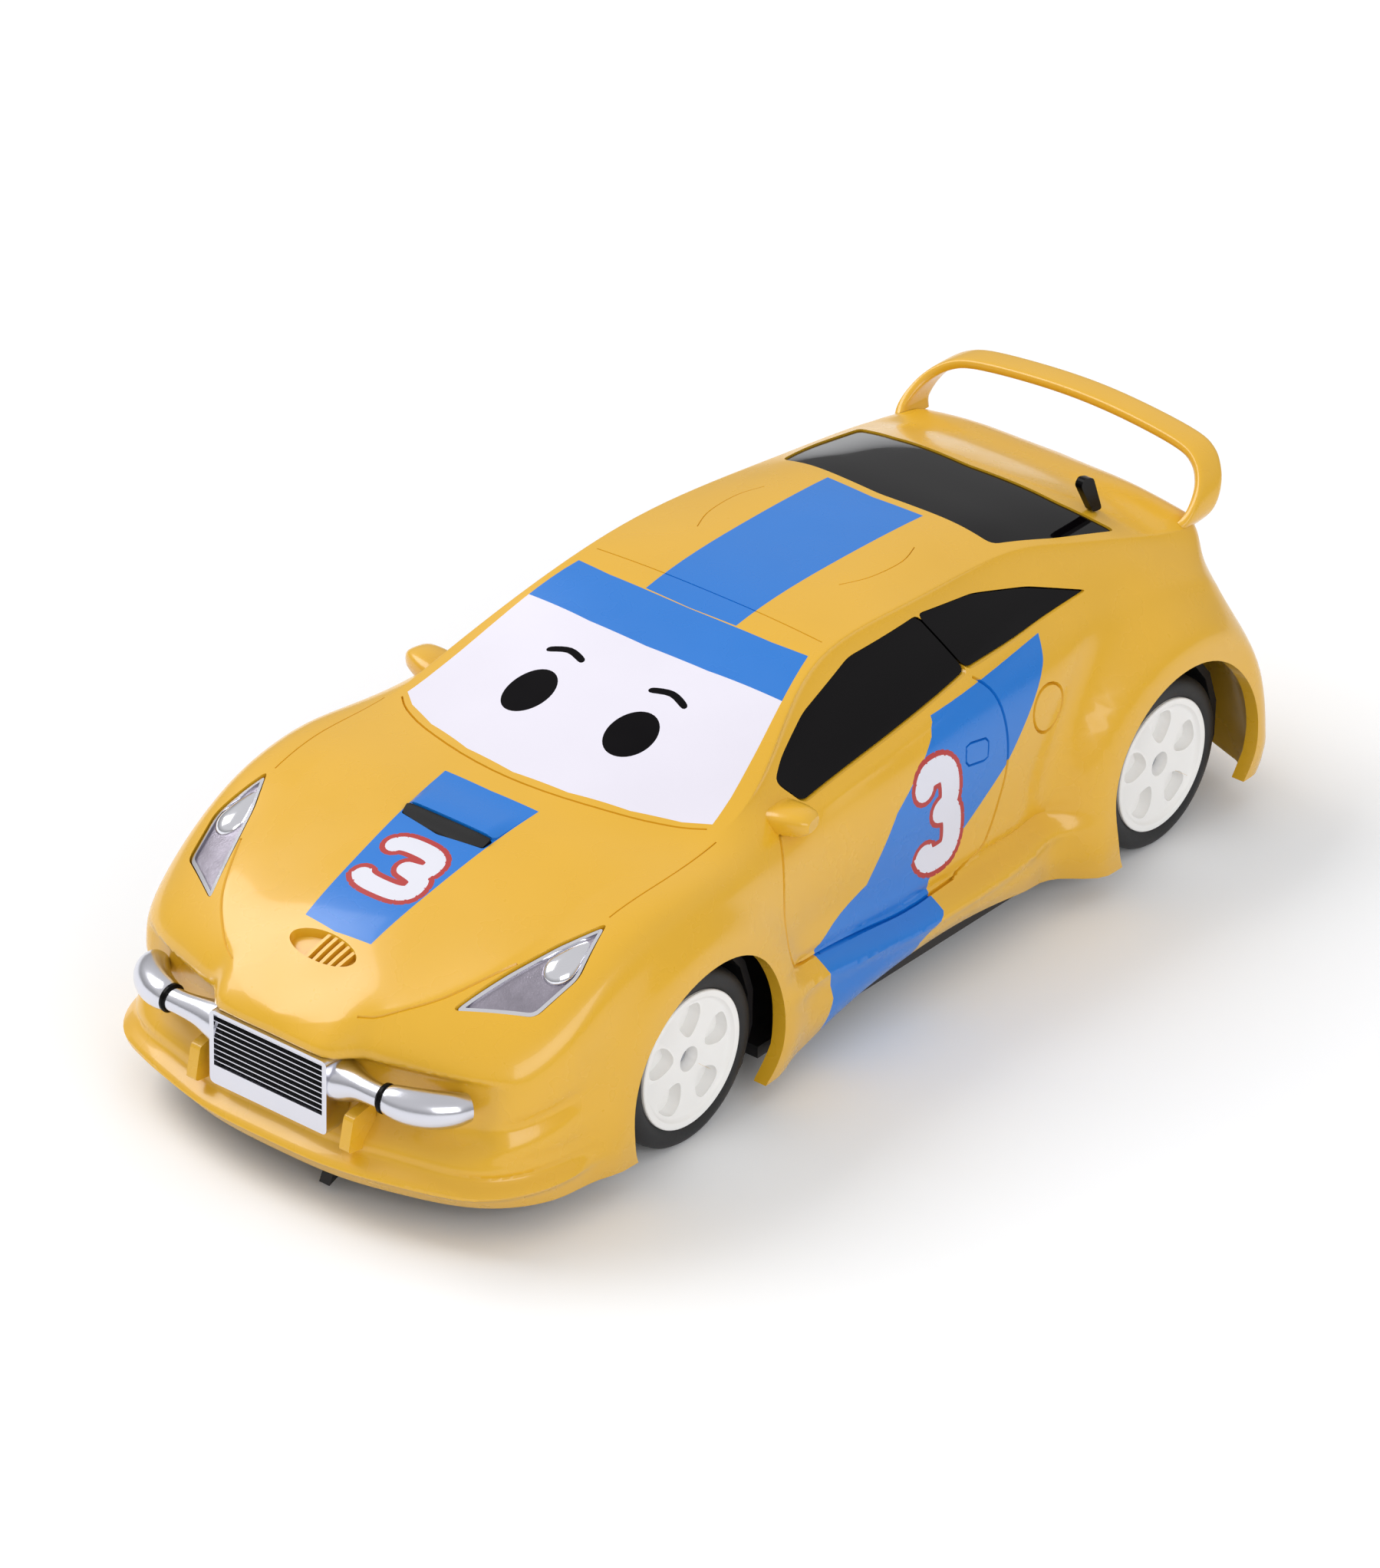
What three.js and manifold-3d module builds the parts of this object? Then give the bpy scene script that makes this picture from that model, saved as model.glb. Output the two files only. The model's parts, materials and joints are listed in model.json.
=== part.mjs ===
// Pull back toy car, about 1:32, built as the real toy is: a thin moulded body over a black
// chassis, a clockwork motor on the rear axle, four two-part wheels and plated trim.
// Millimetres. Front towards -Y, the car's left side towards +X, +Z up.
import * as THREE from 'three';
import { mergeVertices } from 'three/addons/utils/BufferGeometryUtils.js';
import Module from 'manifold-3d';

const wasm = await Module();
wasm.setup();

// ---------- driving dimensions ----------
const WHEELBASE = 80;
const AXLE_Z = 10; // wheel centre above the ground
const AXLE_Y = { front: -WHEELBASE / 2, rear: WHEELBASE / 2 };
const GAP = 0.3; // running and assembly clearance between neighbouring pieces

const WALL = 1.4; // body moulding
const ARCH_R = { front: 12.4, rear: 12.9 }; // wheel opening in the body side
const FLARES = [
  { y: AXLE_Y.front, inner: 14.3, outer: 20, swell: 0.6 },
  { y: AXLE_Y.rear, inner: 15, outer: 21.5, swell: 2.7 },
];

const FLOOR_Z = 3.4; // underside of the chassis
const FLOOR_T = 1.4;
const FLOOR_TOP = FLOOR_Z + FLOOR_T;

const TYRE_R = 10;
const RIM_R = 7.7; // white hub, where the tyre starts
const TYRE_BORE_R = RIM_R + 0.25;
const WHEEL_FACE_X = 26.4; // outer face of the wheels
const WHEEL_W = 7.2;
const POCKETS = 5; // teardrop hollows in each hub
const POCKET_R = 1.75;
const POCKET_CIRCLE_R = 4.75;
const POCKET_DEPTH = 2.2;

const AXLE_R = 0.9;
const AXLE_END_X = WHEEL_FACE_X - 1.6;
const BORE_R = AXLE_R + 0.25; // every hole that an axle or a gear shaft runs in
const BRACKET_X = [11.5, 13.5];

const TUB_R = 12.4; // wheel wells moulded into the chassis
const TUB_T = 0.9;
const TUB_X = [14.6, 24.4];

const SCREW_R = 0.95;
const SCREW_HEAD_R = 2.1;
const SCREW_HEAD_T = 1.1;
const POST_R = 2.6;
const POST_BOTTOM_Z = 6.3;
const BOSS_R = 3.7;
const BOSS_TOP_Z = POST_BOTTOM_Z - GAP - 0.1;
const SCREW_SITES = [
  { name: 'front_left', x: 9, y: -60 },
  { name: 'front_right', x: -9, y: -60 },
  { name: 'rear_left', x: 9, y: 50.6 },
  { name: 'rear_right', x: -9, y: 50.6 },
];

const GEAR_MODULE = 0.5;
const TEETH = { pinion: 12, wheel: 24, smallWheel: 10, barrel: 28 };
const BACKLASH = 0.2;
const MOTOR = { x: 7.9, y0: 12.6, y1: 45.2, z0: 5.2, z1: 23.2, wall: 1, halfGap: 0.15 };
const pitchR = (teeth) => (teeth * GEAR_MODULE) / 2;
const PINION_AT = [AXLE_Y.rear, AXLE_Z];
const WHEEL_AT = meshPoint(PINION_AT, pitchR(TEETH.pinion) + pitchR(TEETH.wheel), 3);
const BARREL_AT = meshPoint(WHEEL_AT, pitchR(TEETH.smallWheel) + pitchR(TEETH.barrel), 1.2);
const MOTOR_EARS = [MOTOR.y0 - 2.9, MOTOR.y1 + 2.9]; // where the motor is screwed down
const EAR_Z = [8.2, 9.6];
const MOTOR_SCREW_R = 0.75;
const MOTOR_POST_R = 2.3;

// ---------- body surface ----------
// The left half of the body as feature lines. Each runs from the front centre line, round the
// nose corner, along the side and round the tail to the rear centre line, with one point in each
// of the same 18 stations: nose, grille edge, fin, corner start, corner, before the front arch,
// front axle, windscreen foot, mirror, windscreen top, middle, roof end, rear glass, rear axle,
// behind the rear arch, tail corner, tail side, tail.
const FEATURE_LINES = [
  // crown
  [
    [0, -71.9, 21.3], [0, -70.3, 22.9], [0, -66.8, 25.4], [0, -62, 27.4], [0, -56, 29.1],
    [0, -49.8, 30.6], [0, -43.5, 31.8], [0, -37.7, 32.8], [0, -24.5, 36.3], [0, -9.3, 40.4],
    [0, 6, 41.4], [0, 21.4, 41.1], [0, 30, 39.9], [0, 37.7, 38.4], [0, 44.8, 36.1],
    [0, 50.2, 34], [0, 53, 32.9], [0, 54, 32.3],
  ],
  // inner hood and roof
  [
    [0, -72.1, 21], [1.9, -70.8, 22.5], [4, -67.2, 25], [5, -62, 27.2], [6, -56, 28.9],
    [6.2, -49.8, 30.5], [6.3, -43.3, 31.7], [6.8, -37, 32.7], [6.4, -24, 36.2], [5.6, -9.3, 40.4],
    [5.8, 6, 41.35], [5.6, 21.5, 41], [5.8, 30, 39.8], [6.2, 37.9, 38.2], [6.4, 45, 35.9],
    [6.4, 50.4, 33.9], [5, 53.1, 32.8], [0, 54.2, 31.9],
  ],
  // outer hood and roof
  [
    [0, -72.3, 20.7], [3.6, -71.3, 22], [7.6, -68.2, 24.3], [10, -62.6, 26.4], [12, -56.4, 28.3],
    [12.4, -49.8, 30.1], [12.8, -42.7, 31.4], [13.5, -34.9, 32.2], [12.4, -22.6, 36], [11, -9.2, 40.3],
    [11.4, 6, 41.1], [10.8, 21.9, 40.6], [11.2, 30.4, 39.2], [12.2, 38.6, 37.2], [12.8, 45.6, 35.1],
    [12.6, 50.8, 33.4], [10, 53.3, 32.6], [0, 54.4, 31.4],
  ],
  // hood crease, roof rail, rear window edge
  [
    [0, -72.4, 20.3], [5.2, -71.7, 21.4], [10.6, -69.2, 23.2], [15, -64.2, 25.2], [17.6, -57.4, 27.5],
    [18.3, -49.9, 29.5], [19, -41.6, 30.9], [20.8, -30.6, 31.2], [18.8, -20.2, 35.3], [15.7, -8.7, 40.1],
    [15.9, 6.4, 40.4], [15.2, 22.7, 39.3], [16.3, 31.4, 37.5], [17.8, 40, 35.3], [18.8, 46.8, 33.4],
    [18.6, 51.6, 32], [14.6, 53.7, 31.6], [0, 54.7, 30.8],
  ],
  // window top edge
  [
    [0, -72.5, 19.8], [6.6, -72, 20.7], [12.8, -69.8, 22], [18.4, -65.2, 23.6], [21.3, -58.6, 26.2],
    [22, -50.3, 29.3], [22.3, -41, 30.5], [22.8, -29.6, 30.8], [19.9, -19.4, 34.2], [17.1, -7.8, 38.9],
    [17.2, 6.8, 39.1], [16.6, 22, 38.3], [17.6, 30.8, 36.6], [19.2, 39.8, 34.5], [20.2, 47, 32.5],
    [20.4, 52, 30.9], [15.6, 54.2, 30.4], [0, 55.2, 29.8],
  ],
  // middle of the side window
  [
    [0, -72.6, 19.2], [7.6, -72.4, 19.8], [14.4, -70.3, 20.6], [20.9, -66.2, 21.8], [24, -59.8, 24.4],
    [25.2, -50.9, 28.6], [25.5, -40, 30.1], [24.6, -28.9, 29.6], [21.6, -18.8, 32.2], [20.2, -6.8, 35.2],
    [20.2, 7, 35.8], [19.4, 21, 35.7], [19.8, 30.2, 34.9], [21, 39.8, 33.2], [21.8, 47.6, 31.2],
    [21.6, 51.8, 29.3], [15.9, 54.4, 28.4], [0, 55.6, 28],
  ],
  // fender top, beltline, hip
  [
    [0, -72.6, 18.4], [8, -72.6, 18.6], [15.5, -70.6, 19], [22.4, -67.2, 19.8], [25.8, -61, 22.2],
    [27.3, -51.6, 26.6], [27.5, -40, 28.3], [26.1, -28.4, 27.4], [23.4, -18.2, 29.9], [23.3, -6, 31],
    [23.1, 7, 32], [22.2, 20, 32.7], [22, 29.6, 32.6], [23.2, 40, 31.4], [23.6, 48.2, 29.6],
    [22.8, 52.2, 27], [16, 55.2, 25.6], [0, 56.4, 25.2],
  ],
  // shoulder
  [
    [0, -72.6, 17], [8, -72.6, 17], [15.8, -70.5, 17], [23.3, -67.8, 17.4], [26.8, -61.8, 19.5],
    [28.2, -52.2, 23], [28.4, -40, 25], [27, -28, 24.4], [25.2, -18, 27], [25.3, -6, 27.6],
    [25.2, 7, 28.4], [24.8, 19.5, 29.4], [24.6, 29, 29.8], [25.2, 40, 29.2], [25.2, 49, 27.6],
    [23.8, 52.9, 24], [16, 56.2, 22.4], [0, 57.4, 22],
  ],
  // widest line of the side
  [
    [0, -72.6, 14.5], [8, -72.6, 14.5], [15.8, -70.3, 14.5], [23.4, -67.9, 14.5], [26.8, -61.9, 15.5],
    [28.4, -52.2, 18.5], [28.6, -40, 21.5], [27.4, -27.8, 20.5], [25.9, -18, 21], [25.9, -6, 21],
    [25.8, 7, 21.5], [25.8, 19, 22.5], [26, 28.4, 24], [26.4, 40, 24.5], [26, 49.4, 23],
    [24.8, 54, 20], [16, 57.6, 19], [0, 58.8, 18.6],
  ],
  // lower side
  [
    [0, -73, 11.5], [8, -73, 11.5], [15.8, -71, 11.5], [23.8, -68.5, 11.5], [27.1, -62.3, 11.8],
    [28.4, -52.8, 13], [28, -40, 15], [27.5, -27.6, 17], [25.6, -18, 16.2], [25.4, -6, 14.4],
    [25.4, 7, 13.6], [26, 19, 14], [26.6, 28, 15], [26.8, 40, 16], [26.6, 50.4, 16],
    [25.6, 55.2, 14.5], [15.8, 59, 14], [0, 60.2, 13.8],
  ],
  // skirt and bumper ledge
  [
    [0, -74.2, 8.9], [8, -74.2, 8.9], [15.7, -72.2, 8.9], [23.8, -69.7, 8.9], [27.4, -62.7, 8.9],
    [28.3, -53.2, 9], [28, -40, 9.5], [27.7, -27.6, 12], [27, -18, 12.4], [27, -6, 11.2],
    [27, 7, 10.6], [27.2, 19, 10.6], [27.2, 27.8, 9.9], [27, 40, 10], [26.8, 50.8, 10],
    [25.8, 55.8, 9.6], [15.8, 59.6, 9.4], [0, 60.8, 9.3],
  ],
  // skirt and lip face
  [
    [0, -75.4, 6.8], [8, -75.2, 6.8], [15.6, -73.4, 6.8], [23.3, -70.3, 6.7], [27.5, -62.9, 6.6],
    [28, -53.4, 6.4], [28, -40, 6.4], [27.9, -27.6, 6.5], [27.6, -18, 7.2], [27.6, -6, 8.3],
    [27.6, 7, 8.4], [27.6, 19, 7.4], [27.4, 27.6, 6.8], [27, 40, 7], [26.8, 51, 7],
    [25.6, 56.2, 6.7], [15.6, 59.9, 6.6], [0, 61, 6.5],
  ],
  // bottom edge
  [
    [0, -73.9, 4.4], [8, -73.6, 4.4], [15.2, -71.8, 4.4], [22.4, -68.6, 4.3], [26.8, -62, 4],
    [27.4, -53, 3.6], [27.4, -40, 3.3], [27.2, -27.6, 2.8], [26.6, -18, 4.4], [26.5, -6, 6.1],
    [26.5, 7, 6.2], [26.8, 19, 4.6], [27, 27.6, 3.4], [26.8, 40, 4], [26.4, 51, 4],
    [25, 56, 4], [15.2, 59.4, 4.2], [0, 60.5, 4.3],
  ],
];

const CREASED_LINE = 3; // the roof rail and hood crease count twice, which sharpens them
const FIT_PASSES = 2; // how closely the surface is drawn onto the feature lines

// ---------- outlines ----------
// Windows in side view (y, z), windows and lamps in plan (x, y).
const DOOR_WINDOW = [
  [-21.2, 32.6], [-18.9, 29.9], [9.2, 33.2], [6.4, 38.6], [-4.6, 38.6], [-13.5, 36.4], [-18.8, 34],
];
const QUARTER_WINDOW = [[10.2, 33.3], [31.8, 33.2], [24, 35.9], [16, 37.9], [7.4, 38.6]];
const REAR_WINDOW = [
  [-14.3, 23.6], [0, 22.4], [14.3, 23.6], [16.2, 32], [17.6, 41.4], [11, 39.2], [0, 38],
  [-11, 39.2], [-17.6, 41.4], [-16.2, 32],
];
const HEADLIGHT = [
  [22.9, -49.6], [24.6, -56], [23.4, -61.4], [16.2, -66], [18.4, -59.6], [20.4, -54.4],
];
const CHASSIS_HALF = [
  [0, -69.8], [8, -69.2], [14.5, -67.4], [20, -64.2], [23.6, -60], [24.6, -55.4], [24.6, -53],
  [15.4, -53], [15.4, -27], [24.6, -27], [24.6, 26.8], [15.4, 26.8], [15.4, 52.6], [20, 52.8],
  [14, 56.6], [0, 57.8],
];

// ---------- small tools ----------
function meshPoint([y, z], distance, rise) {
  return [y - Math.sqrt(distance ** 2 - rise ** 2), z + rise];
}

function solid(geometry) {
  const bare = geometry.clone();
  for (const name of Object.keys(bare.attributes)) {
    if (name !== 'position') bare.deleteAttribute(name);
  }
  const merged = mergeVertices(bare, 1e-5);
  return new wasm.Manifold(new wasm.Mesh({
    numProp: 3,
    vertProperties: new Float32Array(merged.attributes.position.array),
    triVerts: new Uint32Array(merged.index.array),
  }));
}

function geometryOf(body) {
  const { vertProperties, triVerts } = body.getMesh();
  const geometry = new THREE.BufferGeometry();
  geometry.setAttribute('position', new THREE.BufferAttribute(vertProperties, 3));
  geometry.setIndex(new THREE.BufferAttribute(triVerts, 1));
  geometry.computeVertexNormals();
  return geometry;
}

const join = (first, ...others) => others.reduce((sum, next) => sum.add(next), first);
const cut = (first, ...others) => others.reduce((rest, next) => rest.subtract(next), first);

function box(x, y, z) {
  const geometry = new THREE.BoxGeometry(x[1] - x[0], y[1] - y[0], z[1] - z[0]);
  geometry.translate((x[0] + x[1]) / 2, (y[0] + y[1]) / 2, (z[0] + z[1]) / 2);
  return solid(geometry);
}

function rodX(radius, x, y, z, segments = 16) {
  const geometry = new THREE.CylinderGeometry(radius, radius, x[1] - x[0], segments);
  geometry.rotateZ(Math.PI / 2);
  geometry.translate((x[0] + x[1]) / 2, y, z);
  return solid(geometry);
}

function rodZ(radius, x, y, z, segments = 12) {
  const geometry = new THREE.CylinderGeometry(radius, radius, z[1] - z[0], segments);
  geometry.rotateX(Math.PI / 2);
  geometry.translate(x, y, (z[0] + z[1]) / 2);
  return solid(geometry);
}

function outline(points) {
  return new THREE.Shape(points.map(([u, v]) => new THREE.Vector2(u, v)));
}

// A prism whose outline is given in plan (x, y).
function prismZ(points, z) {
  const geometry = new THREE.ExtrudeGeometry(outline(points), { depth: z[1] - z[0], bevelEnabled: false });
  geometry.translate(0, 0, z[0]);
  return solid(geometry);
}

// A prism whose outline is given in side view (y, z).
function prismX(points, x) {
  const geometry = new THREE.ExtrudeGeometry(outline(points), { depth: x[1] - x[0], bevelEnabled: false });
  geometry.rotateX(Math.PI / 2);
  geometry.rotateZ(Math.PI / 2);
  geometry.translate(x[0], 0, 0);
  return solid(geometry);
}

function mirrored(points) {
  return points.map(([x, y]) => [-x, y]).reverse();
}

// The same outline, moved inwards by a clearance.
function shrunk(points, clearance) {
  const clockwise = THREE.ShapeUtils.area(points.map(([u, v]) => ({ x: u, y: v }))) < 0 ? -1 : 1;
  return points.map((point, k) => {
    const before = points[(k + points.length - 1) % points.length];
    const after = points[(k + 1) % points.length];
    const a = new THREE.Vector2(point[0] - before[0], point[1] - before[1]).normalize();
    const b = new THREE.Vector2(after[0] - point[0], after[1] - point[1]).normalize();
    const inward = new THREE.Vector2(-a.y - b.y, a.x + b.x).multiplyScalar(clockwise);
    inward.multiplyScalar(clearance / Math.max(1 + a.dot(b), 0.35));
    return [point[0] + inward.x, point[1] + inward.y];
  });
}

const SIDES = [{ name: 'left', sign: 1 }, { name: 'right', sign: -1 }];
const spanX = (sign, inner, outer) => (sign > 0 ? [inner, outer] : [-outer, -inner]);

// ---------- the body surface ----------
function basis(t) {
  return [
    (1 - t) ** 3 / 6,
    (3 * t ** 3 - 6 * t ** 2 + 4) / 6,
    (-3 * t ** 3 + 3 * t ** 2 + 3 * t + 1) / 6,
    t ** 3 / 6,
  ];
}

// One cubic B-spline through a row of points, with the phantom point at each end given.
function splineRow(points, before, after, steps) {
  const padded = [before, ...points, after];
  const samples = [];
  for (let k = 0; k < points.length - 1; k += 1) {
    for (let s = 0; s < steps; s += 1) samples.push(blend(padded, k, s / steps));
  }
  samples.push(blend(padded, points.length - 2, 1));
  return samples;
}

function blend(padded, k, t) {
  const weights = basis(t);
  const sum = [0, 0, 0];
  weights.forEach((weight, w) => {
    for (let axis = 0; axis < 3; axis += 1) sum[axis] += weight * padded[k + w][axis];
  });
  return sum;
}

const flipX = ([x, y, z]) => [-x, y, z];
const transpose = (grid) => grid[0].map((_, column) => grid.map((row) => row[column]));

function surface(lines, lineSteps, stationSteps) {
  const along = lines.map((row) => splineRow(row, flipX(row[1]), flipX(row[row.length - 2]), stationSteps));
  const down = transpose(along).map((column) => {
    const [last, previous] = [column[column.length - 1], column[column.length - 2]];
    const beyond = last.map((value, axis) => 2 * value - previous[axis]);
    return splineRow(column, flipX(column[1]), beyond, lineSteps);
  });
  return transpose(down);
}

// Moves the control points until the surface runs close to the feature lines.
function controlLines() {
  let lines = FEATURE_LINES.map((row) => row.map((point) => [...point]));
  for (let pass = 0; pass < FIT_PASSES; pass += 1) {
    const drawn = surface(lines, 1, 1);
    lines = lines.map((row, i) => row.map((point, j) => {
      const moved = point.map((value, axis) => value + FEATURE_LINES[i][j][axis] - drawn[i][j][axis]);
      const onCentreLine = i === 0 || j === 0 || j === row.length - 1;
      return onCentreLine ? [0, moved[1], moved[2]] : moved;
    }));
  }
  return lines.flatMap((row, i) => (i === CREASED_LINE ? [row, row] : [row]));
}

const smooth = (t) => t * t * (3 - 2 * t);

function addFlares([x, y, z]) {
  let swell = 0;
  for (const flare of FLARES) {
    const reach = Math.hypot(y - flare.y, z - AXLE_Z);
    const t = THREE.MathUtils.clamp((flare.outer - reach) / (flare.outer - flare.inner), 0, 1);
    swell += flare.swell * smooth(t);
  }
  const onSide = THREE.MathUtils.clamp((x - 18) / 5, 0, 1);
  return [x + swell * onSide, y, z];
}

const HALF_BODY = surface(controlLines(), 1, 2).map((row) => row.map(addFlares));

// The closed solid inside the body surface, moved inwards by inset. It is closed off along the
// bottom edge, or at skirtZ if a skirt is to carry it down to there.
function bodySolid(inset, skirtZ = null) {
  const rows = HALF_BODY.length;
  const columns = HALF_BODY[0].length;
  const positions = [];
  const number = new Map();
  const vertex = (side, i, j) => {
    const shared = i === 0 || j === 0 || j === columns - 1;
    const key = `${shared ? 1 : side},${i},${j}`;
    if (!number.has(key)) {
      const [x, y, z] = HALF_BODY[i][j];
      number.set(key, positions.length / 3);
      positions.push(side * x, y, z);
    }
    return number.get(key);
  };
  const index = [];
  const quad = (side, a, b, c, d) => {
    if (side > 0) index.push(a, b, c, a, c, d);
    else index.push(a, c, b, a, d, c);
  };
  for (const side of [1, -1]) {
    for (let i = 0; i < rows - 1; i += 1) {
      for (let j = 0; j < columns - 1; j += 1) {
        const corners = [[i, j], [i + 1, j], [i + 1, j + 1], [i, j + 1]];
        quad(side, ...corners.map(([row, column]) => vertex(side, row, column)));
      }
    }
  }
  const skin = new THREE.BufferGeometry();
  skin.setAttribute('position', new THREE.Float32BufferAttribute(positions, 3));
  skin.setIndex(index);
  skin.computeVertexNormals();
  const normals = skin.attributes.normal.array;
  const moved = positions.map((value, k) => value - inset * normals[k]);

  // the skirt below the bottom edge, then the flat closing strips
  const foot = new Map();
  for (const side of [1, -1]) {
    for (let j = 0; j < columns; j += 1) {
      const top = vertex(side, rows - 1, j);
      if (skirtZ === null) {
        foot.set(top, top);
      } else if (!foot.has(top)) {
        foot.set(top, moved.length / 3);
        moved.push(moved[3 * top], moved[3 * top + 1], skirtZ);
      }
    }
  }
  for (const side of [1, -1]) {
    for (let j = 0; j < columns - 1; j += 1) {
      const [a, b] = [vertex(side, rows - 1, j), vertex(side, rows - 1, j + 1)];
      if (skirtZ !== null) quad(side, a, foot.get(a), foot.get(b), b);
    }
  }
  for (let j = 0; j < columns - 1; j += 1) {
    const [r0, r1] = [foot.get(vertex(1, rows - 1, j)), foot.get(vertex(1, rows - 1, j + 1))];
    const [l0, l1] = [foot.get(vertex(-1, rows - 1, j)), foot.get(vertex(-1, rows - 1, j + 1))];
    if (r0 !== l0) index.push(r0, l0, l1);
    if (r1 !== l1) index.push(r0, l1, r1);
  }
  const geometry = new THREE.BufferGeometry();
  geometry.setAttribute('position', new THREE.Float32BufferAttribute(moved, 3));
  geometry.setIndex(index);
  return solid(geometry);
}

// The layer of the body between two depths, which trim pieces and pockets are cut from.
const layer = (outer, inner) => bodySolid(outer).subtract(bodySolid(inner, -5));

// ---------- body shell and what is fixed to it ----------
function sideWindows(clearance) {
  const panes = [DOOR_WINDOW, QUARTER_WINDOW].map((points) => shrunk(points, clearance));
  const left = panes.map((points) => prismX(points, [12, 32]));
  const right = panes.map((points) => prismX(points, [-32, -12]));
  return join(...left, ...right);
}

const rearWindow = (clearance) => prismZ(shrunk(REAR_WINDOW, clearance), [28, 46]);

function headlightPrism(sign, clearance) {
  const points = shrunk(HEADLIGHT, clearance);
  return prismZ(sign > 0 ? points : mirrored(points), [12, 36]);
}

const SCOOP = { halfX: 6.4, y: [-49.1, -47.1], z: [24, 36] };
const scoopPrism = (clearance) => box(
  [-SCOOP.halfX + clearance, SCOOP.halfX - clearance],
  [SCOOP.y[0] + clearance, SCOOP.y[1] - clearance],
  SCOOP.z,
);

const SPOILER_PEGS = [{ x: 18.6, y: 52.2 }, { x: -18.6, y: 52.2 }];
const SPOILER_PEG_R = 0.8;

function mirrorPod(sign) {
  const pod = [[-24.6, 28.4], [-19.2, 28.6], [-19.4, 31], [-22.4, 31.2]];
  const arm = prismX(pod, spanX(sign, 22.6, 27));
  const wedge = new THREE.ConeGeometry(6.2, 8, 4);
  wedge.rotateZ((-sign * Math.PI) / 2);
  wedge.translate(sign * 24.6, -21.6, 29.6);
  return arm.intersect(solid(wedge));
}

function bumperFin(sign) {
  const side = [[-75.4, 9.3], [-74.6, 12.9], [-71.4, 13.6], [-71, 8.6]];
  return prismX(side, spanX(sign, 9.7, 11));
}

function bodyShell() {
  let shell = cut(bodySolid(0), bodySolid(WALL, -5));
  for (const end of ['front', 'rear']) {
    shell = cut(shell, rodX(ARCH_R[end], [-35, 35], AXLE_Y[end], AXLE_Z, 28));
  }
  for (const { sign } of SIDES) {
    const mirror = mirrorPod(sign).subtract(bodySolid(WALL / 2));
    const fin = bumperFin(sign).subtract(bodySolid(WALL));
    shell = join(shell, mirror, fin);
    shell = cut(shell, layer(-1, 1).intersect(headlightPrism(sign, 0)));
  }
  shell = cut(shell, sideWindows(0), rearWindow(0), layer(-1, 1).intersect(scoopPrism(0)));
  const roofOfPosts = bodySolid(WALL / 2, -5);
  for (const { x, y } of SCREW_SITES) {
    shell = join(shell, rodZ(POST_R, x, y, [POST_BOTTOM_Z, 34]).intersect(roofOfPosts));
    shell = cut(shell, rodZ(SCREW_R + GAP, x, y, [0, 17]));
  }
  for (const { x, y } of SPOILER_PEGS) {
    shell = cut(shell, rodZ(SPOILER_PEG_R + GAP, x, y, [24, 40]));
  }
  return shell;
}

// One smoked moulding behind every window, with raised panes that fill the openings.
function windowInsert() {
  const cabin = box([-26, 26], [-25, 46.5], [28, 44]);
  const liner = layer(WALL + GAP, WALL + GAP + 1).intersect(cabin);
  const panes = layer(GAP, WALL + GAP + 0.6).intersect(join(sideWindows(GAP), rearWindow(GAP)));
  const posts = SPOILER_PEGS.map(({ x, y }) => rodZ(POST_R, x, y, [20, 40]));
  return cut(join(liner, panes), ...posts);
}

const headlight = (sign) => layer(0.05, 0.7).intersect(headlightPrism(sign, GAP));
const hoodScoopInsert = () => layer(0.15, 0.7).intersect(scoopPrism(GAP));

// The spoiler is a flat strip bent into a hoop. Half of its centre line, from the foot to the
// middle of the blade, with the strip's fore-and-aft width at each point.
const HOOP = [
  { at: [18.8, 52.2, 31.9], width: 5.8 },
  { at: [19.6, 53.4, 33], width: 5.3 },
  { at: [19.5, 54.9, 34.5], width: 4.8 },
  { at: [18.6, 56.5, 36.1], width: 4.2 },
  { at: [16.8, 57.9, 37.4], width: 3.9 },
  { at: [13.9, 58.7, 38.1], width: 3.7 },
  { at: [7, 59.3, 38.6], width: 3.6 },
  { at: [0, 59.5, 38.8], width: 3.6 },
];
const HOOP_T = 1.2;

function rearSpoiler() {
  const right = HOOP.slice(0, -1).map(({ at, width }) => ({ at: flipX(at), width }));
  const stations = [...HOOP, ...right.reverse()];
  const positions = [];
  stations.forEach(({ at, width }, k) => {
    const before = stations[Math.max(k - 1, 0)].at;
    const after = stations[Math.min(k + 1, stations.length - 1)].at;
    const outward = new THREE.Vector2(after[2] - before[2], before[0] - after[0]).normalize();
    for (const [face, edge] of [[-1, -1], [-1, 1], [1, 1], [1, -1]]) {
      positions.push(
        at[0] + (outward.x * face * HOOP_T) / 2,
        at[1] + (edge * width) / 2,
        at[2] + (outward.y * face * HOOP_T) / 2,
      );
    }
  });
  const index = [0, 1, 2, 0, 2, 3];
  const last = (stations.length - 1) * 4;
  index.push(last, last + 2, last + 1, last, last + 3, last + 2);
  for (let k = 0; k < last; k += 4) {
    for (let c = 0; c < 4; c += 1) {
      const [a, b] = [k + c, k + ((c + 1) % 4)];
      index.push(a, a + 4, b + 4, a, b + 4, b);
    }
  }
  const strip = new THREE.BufferGeometry();
  strip.setAttribute('position', new THREE.Float32BufferAttribute(positions, 3));
  strip.setIndex(index);
  const pegs = SPOILER_PEGS.map(({ x, y }) => rodZ(SPOILER_PEG_R, x, y, [28.5, 33], 8));
  return join(cut(solid(strip), bodySolid(-GAP)), ...pegs);
}

function rearWiper() {
  const blade = [[41.6, 36.1], [43.2, 35.9], [41.4, 40.4], [39.8, 40.9], [39.2, 40.2]];
  return prismX(blade, [13.4, 14.3]).subtract(bodySolid(-GAP / 2));
}

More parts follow.
